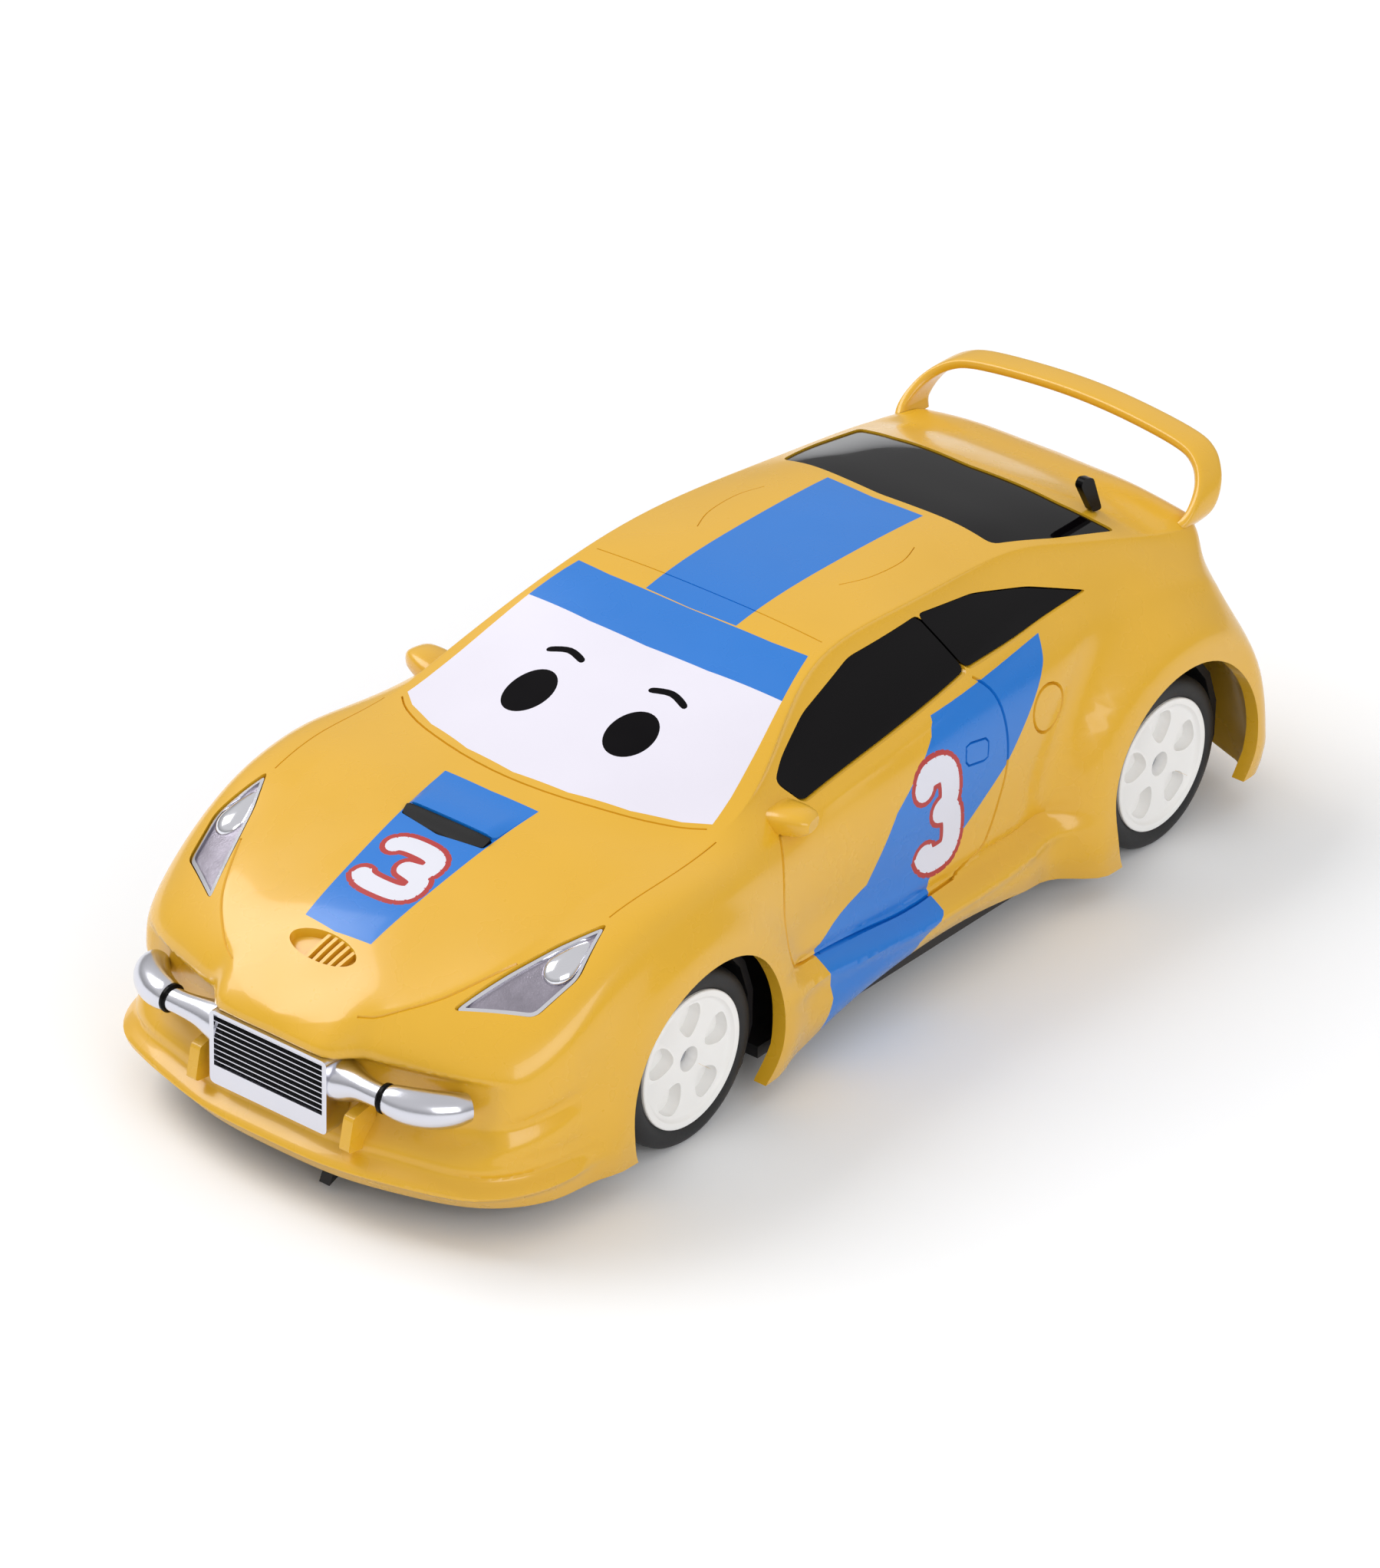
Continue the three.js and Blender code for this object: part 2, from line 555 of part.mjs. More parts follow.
// ---------- plated bumper bar ----------
const GRILLE = { halfX: 7.9, y: [-75.3, -73.2], z: [10, 18.6], plateTop: 12.3, ribs: 9, recess: 0.6 };
const GRILLE_RIM = 0.7; // plain edge left and right of the grooves
// Left half of the pipes: the neck beside the grille, then the fatter bend round the corner.
const NECK = {
  points: [[7, -74.3, 16], [10, -74.1, 16.3], [14.6, -73.7, 16.5]],
  radii: [2.3, 1.5, 1.3],
};
const BEND = {
  points: [[14.2, -73.8, 16.5], [17.4, -72.8, 16.1], [20.4, -70.6, 15.8], [21.6, -68.4, 15.7]],
  radii: [1.5, 2, 2.2, 1.9],
};

function pipe({ points, radii }, sign) {
  const path = new THREE.CatmullRomCurve3(points.map(([x, y, z]) => new THREE.Vector3(sign * x, y, z)));
  const steps = 5;
  const sides = 10;
  const frames = path.computeFrenetFrames(steps, false);
  const positions = [];
  const index = [];
  const radiusAt = (t) => {
    const k = Math.min(Math.floor(t * (radii.length - 1)), radii.length - 2);
    return THREE.MathUtils.lerp(radii[k], radii[k + 1], t * (radii.length - 1) - k);
  };
  for (let s = 0; s <= steps; s += 1) {
    const centre = path.getPointAt(s / steps);
    for (let a = 0; a < sides; a += 1) {
      const angle = (2 * Math.PI * a) / sides;
      const point = centre.clone()
        .addScaledVector(frames.normals[s], radiusAt(s / steps) * Math.cos(angle))
        .addScaledVector(frames.binormals[s], radiusAt(s / steps) * Math.sin(angle));
      positions.push(point.x, point.y, point.z);
    }
  }
  for (let s = 0; s < steps; s += 1) {
    for (let a = 0; a < sides; a += 1) {
      const [p, q] = [s * sides + a, s * sides + ((a + 1) % sides)];
      index.push(p, q, q + sides, p, q + sides, p + sides);
    }
  }
  for (let a = 1; a < sides - 1; a += 1) {
    index.push(0, a + 1, a, steps * sides, steps * sides + a, steps * sides + a + 1);
  }
  const tube = new THREE.BufferGeometry();
  tube.setAttribute('position', new THREE.Float32BufferAttribute(positions, 3));
  tube.setIndex(index);
  return solid(tube);
}

function bumperBar() {
  let bar = box([-GRILLE.halfX, GRILLE.halfX], GRILLE.y, GRILLE.z);
  const top = GRILLE.z[1] - 0.5;
  const pitch = (top - GRILLE.plateTop) / GRILLE.ribs;
  for (let k = 0; k < GRILLE.ribs; k += 1) {
    const z = GRILLE.plateTop + k * pitch;
    const width = [-GRILLE.halfX + GRILLE_RIM, GRILLE.halfX - GRILLE_RIM];
    bar = cut(bar, box(width, [-80, GRILLE.y[0] + GRILLE.recess], [z, z + pitch * 0.55]));
  }
  for (const { sign } of SIDES) bar = join(bar, pipe(NECK, sign), pipe(BEND, sign));
  return cut(bar, bodySolid(-GAP, -5));
}

// ---------- chassis and fasteners ----------
function wheelTub(sign, y) {
  const outer = rodX(TUB_R, spanX(sign, TUB_X[0], TUB_X[1]), y, AXLE_Z, 18);
  const hollow = rodX(TUB_R - TUB_T, spanX(sign, TUB_X[0] + TUB_T, TUB_X[1] + 1), y, AXLE_Z, 18);
  return outer.subtract(hollow).intersect(box([-30, 30], [y - 20, y + 20], [FLOOR_Z, 30]));
}

function chassis() {
  const right = mirrored(CHASSIS_HALF).filter(([x]) => x < 0);
  let frame = prismZ([...CHASSIS_HALF, ...right], [FLOOR_Z, FLOOR_TOP]);
  for (const y of Object.values(AXLE_Y)) {
    for (const { sign } of SIDES) {
      const bracket = box(spanX(sign, ...BRACKET_X), [y - 3, y + 3], [FLOOR_Z, AXLE_Z + 3]);
      frame = join(frame, wheelTub(sign, y), bracket);
    }
    frame = cut(frame, rodX(BORE_R, [-20, 20], y, AXLE_Z));
  }
  for (const { x, y } of SCREW_SITES) {
    frame = join(frame, rodZ(BOSS_R, x, y, [FLOOR_Z, BOSS_TOP_Z]));
    frame = cut(frame, rodZ(SCREW_R + GAP, x, y, [0, 8]));
    frame = cut(frame, rodZ(SCREW_HEAD_R + GAP, x, y, [0, FLOOR_Z + SCREW_HEAD_T + GAP + 0.1]));
  }
  for (const y of MOTOR_EARS) {
    frame = join(frame, rodZ(MOTOR_POST_R, 0, y, [FLOOR_Z, EAR_Z[0] - GAP - 0.1]));
    frame = cut(frame, rodZ(MOTOR_SCREW_R + GAP, 0, y, [FLOOR_Z + 0.6, 9]));
  }
  const tab = prismX([[-71.6, 1], [-68.4, 2.2], [-67.6, FLOOR_Z + 0.4], [-70.2, FLOOR_Z + 0.4]], [3.6, 5]);
  return join(frame, tab);
}

// A pan-head screw, its head at the bottom or at the top.
function screw(x, y, headZ, tipZ, radius, headR, headT) {
  const up = tipZ > headZ;
  const head = up ? [headZ, headZ + headT] : [headZ - headT, headZ];
  const shank = up ? [headZ + headT / 2, tipZ] : [tipZ, headZ - headT / 2];
  return join(rodZ(headR, x, y, head, 10), rodZ(radius, x, y, shank, 8));
}

// ---------- wheels and axles ----------
function lathedX(profile, segments) {
  const points = profile.map(([radius, along]) => new THREE.Vector2(radius, along));
  const geometry = new THREE.LatheGeometry(points, segments);
  geometry.rotateZ(-Math.PI / 2);
  return geometry;
}

// Both halves of a wheel are turned about X and face +X; the other side is turned round.
function hubGeometry() {
  const back = -WHEEL_W + 0.8;
  const profile = [
    [BORE_R, back], [2.4, back], [2.4, -4.6], [RIM_R - 1, -4.6], [RIM_R - 1, back], [RIM_R, back],
    [RIM_R, 0], [RIM_R - 0.7, 0], [RIM_R - 1.1, -0.5], [1.6, -0.5], [BORE_R, -1.2], [BORE_R, back],
  ];
  let hub = solid(lathedX(profile, 16));
  for (let k = 0; k < POCKETS; k += 1) {
    const angle = Math.PI / 2 + (2 * Math.PI * k) / POCKETS;
    const [y, z] = [POCKET_CIRCLE_R * Math.cos(angle), POCKET_CIRCLE_R * Math.sin(angle)];
    hub = cut(hub, rodX(POCKET_R, [-0.5 - POCKET_DEPTH, 1], y, z, 7));
  }
  return geometryOf(hub);
}

function tyreGeometry() {
  const profile = [
    [TYRE_BORE_R, -0.2], [TYRE_BORE_R, -WHEEL_W + 0.4], [TYRE_R - 0.7, -WHEEL_W + 0.2],
    [TYRE_R, -WHEEL_W + 1.1], [TYRE_R, -0.9], [TYRE_R - 0.7, -0.1], [TYRE_BORE_R, -0.2],
  ];
  return geometryOf(solid(lathedX(profile, 22)));
}

// ---------- clockwork motor ----------
function gearOutline(teeth, phase) {
  const pitch = pitchR(teeth);
  const pressure = THREE.MathUtils.degToRad(22);
  const base = pitch * Math.cos(pressure);
  const involute = (angle) => Math.tan(angle) - angle;
  const halfAtPitch = (Math.PI * pitch) / teeth / 2 - BACKLASH / 4;
  const halfAngle = (radius) => {
    const tilt = radius > base ? Math.acos(base / radius) : 0;
    return halfAtPitch / pitch + involute(pressure) - involute(tilt);
  };
  const root = pitch - 1.2 * GEAR_MODULE;
  const tip = pitch + 0.82 * GEAR_MODULE;
  const radii = [root, pitch, tip];
  const points = [];
  for (let k = 0; k < teeth; k += 1) {
    const middle = phase + (2 * Math.PI * k) / teeth;
    const flanks = [...radii.map((r) => [r, -1]), ...[...radii].reverse().map((r) => [r, 1])];
    for (const [radius, side] of flanks) {
      const angle = middle + side * halfAngle(radius);
      points.push([radius * Math.cos(angle), radius * Math.sin(angle)]);
    }
  }
  return points;
}

// A gear about the X axis at the origin.
const gear = (teeth, x, phase) => prismX(gearOutline(teeth, phase), x);

// The direction of the mating gear, where one gear has a tooth and the other a gap.
const bearing = (from, to) => Math.atan2(to[1] - from[1], to[0] - from[0]);
const gapAt = (angle, teeth) => angle + Math.PI / teeth;

function axlePinion() {
  const phase = bearing(PINION_AT, WHEEL_AT);
  return gear(TEETH.pinion, [-3.4, -0.9], phase).subtract(rodX(AXLE_R + GAP, [-9, 9], 0, 0));
}

function intermediateGear() {
  const wheelPhase = gapAt(bearing(WHEEL_AT, PINION_AT), TEETH.wheel);
  const smallPhase = bearing(WHEEL_AT, BARREL_AT);
  return join(
    gear(TEETH.wheel, [-3.2, -1.2], wheelPhase),
    gear(TEETH.smallWheel, [-5.8, -3.1], smallPhase),
    rodX(AXLE_R, [-7.6, 7.6], 0, 0),
  );
}

const ARBOR_R = 1.3;

function barrelGear() {
  const phase = gapAt(bearing(BARREL_AT, WHEEL_AT), TEETH.barrel);
  return join(gear(TEETH.barrel, [-5.6, -3.7], phase), rodX(ARBOR_R, [-7.6, 7.6], 0, 0));
}

// The wound steel strip lies flat round the arbor.
function mainspring() {
  const [turns, inner, pitch, strip] = [5.5, ARBOR_R + 0.5, 0.86, 0.4];
  const steps = 54;
  const line = Array.from({ length: steps + 1 }, (_, k) => {
    const angle = (2 * Math.PI * turns * k) / steps;
    return { angle, radius: inner + (pitch * angle) / (2 * Math.PI) };
  });
  const ring = (extra) => line.map(({ angle, radius }) => [
    BARREL_AT[0] + (radius + extra) * Math.cos(angle),
    BARREL_AT[1] + (radius + extra) * Math.sin(angle),
  ]);
  return prismX([...ring(0), ...ring(strip).reverse()], [0.9, 5.9]);
}

function motorHalf(sign) {
  const { x, y0, y1, z0, z1, wall, halfGap } = MOTOR;
  let half = box(spanX(sign, halfGap, x), [y0, y1], [z0, z1]);
  half = cut(half, box(spanX(sign, -1, x - wall), [y0 + wall, y1 - wall], [z0 + wall, z1 - wall]));
  const bores = [[PINION_AT, BORE_R], [WHEEL_AT, BORE_R], [BARREL_AT, ARBOR_R + 0.25]];
  for (const [[y, z], radius] of bores) half = cut(half, rodX(radius, [-9, 9], y, z));
  // the left half carries both screw ears
  if (sign > 0) {
    for (const [k, y] of MOTOR_EARS.entries()) {
      const span = k === 0 ? [y - 2.4, y0 + wall] : [y1 - wall, y + 2.4];
      const hole = rodZ(MOTOR_SCREW_R + GAP + 0.05, 0, y, [8, 10]);
      half = join(half, box([halfGap, 4], span, EAR_Z).subtract(hole));
    }
  }
  return half;
}

// ---------- the assembly ----------
const material = (color, roughness, metalness = 0) => (
  new THREE.MeshStandardMaterial({ color, roughness, metalness })
);
const FINISH = {
  body: () => material(0xe9bb46, 0.28),
  smoked: () => material(0x0b0a0e, 0.12),
  plated: () => material(0xd6d6da, 0.16, 1),
  lamp: () => material(0x9b969c, 0.4, 0.7),
  black: () => material(0x17161a, 0.45),
  white: () => material(0xf1efe9, 0.38),
  rubber: () => material(0x141416, 0.75),
  steel: () => material(0xb4b6ba, 0.3, 1),
  gear: () => material(0xdedbd0, 0.45),
  motorCase: () => material(0x2c2c31, 0.4),
};

const car = new THREE.Group();

function add(name, geometry, finish, parent = car) {
  const mesh = new THREE.Mesh(geometry, FINISH[finish]());
  mesh.name = name;
  parent.add(mesh);
  return mesh;
}

const addSolid = (name, body, finish, parent) => add(name, geometryOf(body), finish, parent);

addSolid('body_shell', bodyShell(), 'body');
addSolid('window_insert', windowInsert(), 'smoked');
addSolid('bumper_bar', bumperBar(), 'plated');
addSolid('hood_scoop_insert', hoodScoopInsert(), 'black');
addSolid('rear_spoiler', rearSpoiler(), 'body');
addSolid('rear_wiper', rearWiper(), 'black');
addSolid('chassis', chassis(), 'black');
for (const { name, sign } of SIDES) addSolid(`headlight_${name}`, headlight(sign), 'lamp');
for (const { name, x, y } of SCREW_SITES) {
  const body = screw(x, y, FLOOR_Z + 0.1, 15, SCREW_R, SCREW_HEAD_R, SCREW_HEAD_T);
  addSolid(`screw_${name}`, body, 'steel');
}

for (const [end, y] of Object.entries(AXLE_Y)) {
  const wheelset = new THREE.Group();
  wheelset.position.set(0, y, AXLE_Z);
  car.add(wheelset);
  addSolid(`axle_${end}`, rodX(AXLE_R, [-AXLE_END_X, AXLE_END_X], 0, 0), 'steel', wheelset);
  for (const { name, sign } of SIDES) {
    const hub = add(`hub_${end}_${name}`, hubGeometry(), 'white', wheelset);
    const tyre = add(`tyre_${end}_${name}`, tyreGeometry(), 'rubber', wheelset);
    for (const mesh of [hub, tyre]) {
      mesh.position.x = sign * WHEEL_FACE_X;
      if (sign < 0) mesh.rotation.z = Math.PI;
    }
  }
}

function addGear(name, body, [y, z]) {
  const mesh = addSolid(name, body, 'gear');
  mesh.position.set(0, y, z);
}

addGear('axle_pinion', axlePinion(), PINION_AT);
addGear('intermediate_gear', intermediateGear(), WHEEL_AT);
addGear('barrel_gear', barrelGear(), BARREL_AT);
addSolid('mainspring', mainspring(), 'steel');
for (const { name, sign } of SIDES) addSolid(`motor_case_${name}`, motorHalf(sign), 'motorCase');
for (const [k, name] of ['front', 'rear'].entries()) {
  const body = screw(0, MOTOR_EARS[k], 11.1, 4.4, MOTOR_SCREW_R, 1.7, 1.1);
  addSolid(`motor_screw_${name}`, body, 'steel');
}

// The origin is under the middle of the car's box, on the ground.
car.updateMatrixWorld(true);
const bounds = new THREE.Box3().setFromObject(car, true);
car.position.y = -(bounds.min.y + bounds.max.y) / 2;
car.position.z = -bounds.min.z;

export default car;
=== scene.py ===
# Looks of the pull back car: fine body, printed graphics, plated trim, wheels and materials.
# Shapes are worked out in millimetres with y = 0 midway between the axles, front towards -Y and
# the car's left side towards +X, and go into the CAD frame, in metres, as each piece is made.
import json
import math
import bpy
import numpy as np
from mathutils import Matrix, Vector
from mathutils.bvhtree import BVHTree
from mathutils.geometry import delaunay_2d_cdt
from mathutils.interpolate import poly_3d_calc

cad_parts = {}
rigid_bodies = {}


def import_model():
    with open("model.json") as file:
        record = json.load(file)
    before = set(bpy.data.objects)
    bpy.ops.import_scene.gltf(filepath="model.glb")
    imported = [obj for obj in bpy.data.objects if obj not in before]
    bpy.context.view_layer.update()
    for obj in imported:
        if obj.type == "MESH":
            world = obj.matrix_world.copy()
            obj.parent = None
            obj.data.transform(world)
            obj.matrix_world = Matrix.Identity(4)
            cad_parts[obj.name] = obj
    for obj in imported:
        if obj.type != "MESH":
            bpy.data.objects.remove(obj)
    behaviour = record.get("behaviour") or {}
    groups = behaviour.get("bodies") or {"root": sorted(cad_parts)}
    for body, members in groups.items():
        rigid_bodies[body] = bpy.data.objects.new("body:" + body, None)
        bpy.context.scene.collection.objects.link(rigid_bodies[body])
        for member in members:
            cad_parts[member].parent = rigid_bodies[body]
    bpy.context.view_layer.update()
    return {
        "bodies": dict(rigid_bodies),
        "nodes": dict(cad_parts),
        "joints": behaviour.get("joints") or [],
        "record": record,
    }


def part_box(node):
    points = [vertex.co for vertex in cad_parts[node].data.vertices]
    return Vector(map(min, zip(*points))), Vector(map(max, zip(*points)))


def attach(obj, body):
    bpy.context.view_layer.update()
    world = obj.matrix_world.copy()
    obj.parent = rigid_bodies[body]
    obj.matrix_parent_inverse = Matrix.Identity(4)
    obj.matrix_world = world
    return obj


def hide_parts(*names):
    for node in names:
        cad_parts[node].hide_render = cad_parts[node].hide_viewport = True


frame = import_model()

MM = 0.001
AXLE_BOXES = [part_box("axle_front"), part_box("axle_rear")]
MIDDLE_Y = sum(corner.y for pair in AXLE_BOXES for corner in pair) / 4

# ---------- driving dimensions, mm ----------
AXLE_Z = 10.0
AXLE_Y = {"front": -40.0, "rear": 40.0}
WALL = 1.6
ARCH_R = {"front": 12.4, "rear": 12.9}
FLARES = [(-40.0, 14.0, 18.0, 0.8), (40.0, 15.0, 20.0, 2.7)]  # y, inner r, outer r, swell
VALLEY_SHARE = 0.22  # depth of the hollow in front of a flare, as a share of its swell
TAIL_RISE = 0.9
TAIL_REACH = 0.5
UNDERCUT = 1.15
GRILLE_OVERHANG = 2.3
CORNER_FOLD = 0.8
SILL_LINE = ([-24, -12, -4, 8, 20], [13.9, 12.6, 11.9, 11.9, 12.6])  # y, z
SILL_VALLEY = 0.8
SILL_LEDGE = 0.7
BELT_RISE = 0.4
BELOW_SKIRT = -5  # height down to which the hollow is cut
ARCH_X = 35
RIM_R = 7.7
WHEEL_FACE_X = 26.4
WHEEL_W = 7.2
SIDES = {"left": 1, "right": -1}

# The left half of the body as feature lines, from the crown to the bottom edge. Each runs from
# the front centre line round the nose, along the side and round the tail, in the same stations.
FEATURE_LINES = [
    # crown
    [(0, -71.9, 21.3), (0, -70.3, 22.9), (0, -66.8, 25.4), (0, -62, 27.4), (0, -56, 29.1),
     (0, -49.8, 30.6), (0, -43.5, 31.8), (0, -37.7, 32.8), (0, -24.5, 36.3), (0, -9.3, 40.4),
     (0, 6, 41.4), (0, 21.4, 41.1), (0, 30, 39.9), (0, 37.7, 38.4), (0, 44.8, 36.1), (0, 50.2, 34),
     (0, 53, 32.9), (0, 54, 32.3)],
    # inner hood and roof
    [(0, -72.1, 21), (1.9, -70.8, 22.5), (4, -67.2, 25), (5, -62, 27.2), (6, -56, 28.9),
     (6.2, -49.8, 30.5), (6.3, -43.3, 31.7), (6.8, -37, 32.7), (6.4, -24, 36.2), (5.6, -9.3, 40.4),
     (5.8, 6, 41.35), (5.6, 21.5, 41), (5.8, 30, 39.8), (6.2, 37.9, 38.2), (6.4, 45, 35.9),
     (6.4, 50.4, 33.9), (5, 53.1, 32.8), (0, 54.2, 31.9)],
    # outer hood and roof
    [(0, -72.3, 20.7), (3.6, -71.3, 22), (7.6, -68.2, 24.3), (10, -62.6, 26.4), (12, -56.4, 28.3),
     (12.4, -49.8, 30.1), (12.8, -42.7, 31.4), (13.5, -34.9, 32.2), (12.4, -22.6, 36),
     (11, -9.2, 40.3), (11.4, 6, 41.1), (10.8, 21.9, 40.6), (11.2, 30.4, 39.2), (12.2, 38.6, 37.2),
     (12.8, 45.6, 35.1), (12.6, 50.8, 33.4), (10, 53.3, 32.6), (0, 54.4, 31.4)],
    # hood crease, roof rail, rear window edge
    [(0, -72.4, 20.3), (5.2, -71.7, 21.4), (10.6, -69.2, 23.2), (15, -64.2, 25.2),
     (17.6, -57.4, 27.5), (18.3, -49.9, 29.5), (19, -41.6, 30.9), (20.8, -30.6, 31.2),
     (18.8, -20.2, 35.3), (15.7, -8.7, 40.1), (15.9, 6.4, 40.4), (15.2, 22.7, 39.3),
     (16.3, 31.4, 37.5), (17.8, 40, 35.3), (18.8, 46.8, 33.4), (18.6, 51.6, 32), (14.6, 53.7, 31.6),
     (0, 54.7, 30.8)],
    # window top edge
    [(0, -72.5, 19.8), (6.6, -72, 20.7), (12.8, -69.8, 22), (18.4, -65.2, 23.6),
     (21.3, -58.6, 26.2), (22, -50.3, 29.3), (22.3, -41, 30.5), (22.8, -29.6, 30.8),
     (19.9, -19.4, 34.2), (17.1, -7.8, 38.9), (17.2, 6.8, 39.1), (16.6, 22, 38.3),
     (17.6, 30.8, 36.6), (19.2, 39.8, 34.5), (20.2, 47, 32.5), (20.4, 52, 30.9), (15.6, 54.2, 30.4),
     (0, 55.2, 29.8)],
    # middle of the side window
    [(0, -72.6, 19.2), (7.6, -72.4, 19.8), (14.4, -70.3, 20.6), (20.9, -66.2, 21.8),
     (24, -59.8, 24.4), (25.2, -50.9, 28.6), (25.5, -40, 30.1), (24.6, -28.9, 29.6),
     (21.6, -18.8, 32.2), (20.2, -6.8, 35.2), (20.2, 7, 35.8), (19.4, 21, 35.7), (19.8, 30.2, 34.9),
     (21, 39.8, 33.2), (21.8, 47.6, 31.2), (21.6, 51.8, 29.3), (15.9, 54.4, 28.4), (0, 55.6, 28)],
    # fender top, beltline, hip
    [(0, -72.6, 18.4), (8, -72.6, 18.6), (15.5, -70.6, 19), (22.4, -67.2, 19.8), (25.8, -61, 22.2),
     (27.3, -51.6, 26.6), (27.5, -40, 28.3), (26.1, -28.4, 27.4), (23.4, -18.2, 29.9),
     (23.3, -6, 31), (23.1, 7, 32), (22.2, 20, 32.7), (22, 29.6, 32.6), (23.2, 40, 31.4),
     (23.6, 48.2, 29.6), (22.8, 52.2, 27), (16, 55.2, 25.6), (0, 56.4, 25.2)],
    # shoulder
    [(0, -72.6, 17), (8, -72.6, 17), (15.8, -70.5, 17), (23.3, -67.8, 17.4), (26.8, -61.8, 19.5),
     (28.2, -52.2, 23), (28.4, -40, 25), (27, -28, 24.4), (25.2, -18, 27), (25.3, -6, 27.6),
     (25.2, 7, 28.4), (24.8, 19.5, 29.4), (24.6, 29, 29.8), (25.2, 40, 29.2), (25.2, 49, 27.6),
     (23.8, 52.9, 24), (16, 56.2, 22.4), (0, 57.4, 22)],
    # widest line of the side
    [(0, -72.6, 14.5), (8, -72.6, 14.5), (15.8, -70.3, 14.5), (23.4, -67.9, 14.5),
     (26.8, -61.9, 15.5), (28.4, -52.2, 18.5), (28.6, -40, 21.5), (27.4, -27.8, 20.5),
     (25.9, -18, 21), (25.9, -6, 21), (25.8, 7, 21.5), (25.8, 19, 22.5), (26, 28.4, 24),
     (26.4, 40, 24.5), (26, 49.4, 23), (24.8, 54, 20), (16, 57.6, 19), (0, 58.8, 18.6)],
    # lower side
    [(0, -73, 11.5), (8, -73, 11.5), (15.8, -71, 11.5), (23.8, -68.5, 11.5), (27.1, -62.3, 11.8),
     (28.4, -52.8, 13), (28, -40, 15), (27.5, -27.6, 17), (25.6, -18, 16.2), (25.4, -6, 14.4),
     (25.4, 7, 13.6), (26, 19, 14), (26.6, 28, 15), (26.8, 40, 16), (26.6, 50.4, 16),
     (25.6, 55.2, 14.5), (15.8, 59, 14), (0, 60.2, 13.8)],
    # skirt and bumper ledge
    [(0, -74.2, 8.9), (8, -74.2, 8.9), (15.7, -72.2, 8.9), (23.8, -69.7, 8.9), (27.4, -62.7, 8.9),
     (28.3, -53.2, 9), (28, -40, 9.5), (27.7, -27.6, 12), (27, -18, 12.4), (27, -6, 11.2),
     (27, 7, 10.6), (27.2, 19, 10.6), (27.2, 27.8, 9.9), (27, 40, 10), (26.8, 50.8, 10),
     (25.8, 55.8, 9.6), (15.8, 59.6, 9.4), (0, 60.8, 9.3)],
    # skirt and lip face
    [(0, -75.4, 6.8), (8, -75.2, 6.8), (15.6, -73.4, 6.8), (23.3, -70.3, 6.7), (27.5, -62.9, 6.6),
     (28, -53.4, 6.4), (28, -40, 6.4), (27.9, -27.6, 6.5), (27.6, -18, 7.2), (27.6, -6, 8.3),
     (27.6, 7, 8.4), (27.6, 19, 7.4), (27.4, 27.6, 6.8), (27, 40, 7), (26.8, 51, 7),
     (25.6, 56.2, 6.7), (15.6, 59.9, 6.6), (0, 61, 6.5)],
    # bottom edge
    [(0, -73.9, 4.4), (8, -73.6, 4.4), (15.2, -71.8, 4.4), (22.4, -68.6, 4.3), (26.8, -62, 4),
     (27.4, -53, 3.6), (27.4, -40, 3.3), (27.2, -27.6, 2.8), (26.6, -18, 4.4), (26.5, -6, 6.1),
     (26.5, 7, 6.2), (26.8, 19, 4.6), (27, 27.6, 3.4), (26.8, 40, 4), (26.4, 51, 4), (25, 56, 4),
     (15.2, 59.4, 4.2), (0, 60.5, 4.3)],
]

CREASED_LINE = 3

# Outlines in side view (y, z): side windows, door band and door lines. The others are in plan (x, y).
DOOR_WINDOW = [
    (-21.2, 32.6), (-18.9, 29.9), (9.7, 33.05), (7.1, 39.05), (-4.6, 38.9), (-13.5, 36.5),
    (-18.8, 34.1),
]
QUARTER_WINDOW = [(9.6, 33.1), (31.6, 33.3), (24, 36.0), (16, 38.0), (7.0, 39.1)]
REAR_WINDOW = [
    (-14.3, 23.6), (0, 22.4), (14.3, 23.6), (16.2, 32), (17.6, 41.4), (11, 39.2), (0, 38),
    (-11, 39.2), (-17.6, 41.4), (-16.2, 32),
]
HEADLIGHT = [(22.9, -49.6), (24.6, -56), (23.4, -61.4), (16.2, -66), (18.4, -59.6), (20.4, -54.4)]
WINDSCREEN_HALF = [
    (0, -37.6), (6.8, -36.9), (13.4, -34.9), (18.2, -32.4), (20.6, -30.4), (19.9, -26.6), (18.5, -20.6),
    (17.1, -15.1),
]
BAND_HALF = [(0, -16.4), (8, -16.1), (17.1, -15.1), (15.5, -8.9), (11, -9.3), (0, -9.5)]
ROOF_STRIPE = [(-6.1, -9.2), (0, -9.4), (6.1, -9.2), (6.5, 21.7), (0, 21.2), (-6.5, 21.7)]
HOOD_STRIPE = [(-6.3, -40.9), (-4.4, -64.6), (0, -65.1), (4.4, -64.6), (6.3, -40.9), (0, -41.1)]
DOOR_BAND = [
    (1.7, 31.6), (21.7, 32.6), (20.3, 30.5), (12.5, 21.9), (6.2, 17.2), (-0.1, 13.2), (-0.1, 10.3),
    (-3.7, 7.9), (-4.4, 4), (-19.6, 3), (-18.4, 7.9), (-20.1, 14.2), (-10.6, 17.3), (-6.2, 24.1),
    (0.8, 29.8),
]
DOOR_REAR_LINE = [(9.6, 32.6), (11.7, 30.1), (12.7, 23.6), (11.9, 18.8), (9.2, 13.4), (4, 11.6)]
DOOR_FRONT_LINE = [(-23.4, 30.4), (-25.9, 25), (-26.3, 19), (-24.6, 14.4), (-19, 13.2)]
DOOR_SILL_LINE = [(-19, 13.2), (-12, 12.4), (-4, 11.6), (4, 11.6)]


# ---------- small tools ----------
def smooth(t):
    """A soft step from 0 at t = 0 to 1 at t = 1."""
    t = np.clip(t, 0, 1)
    return t * t * (3 - 2 * t)


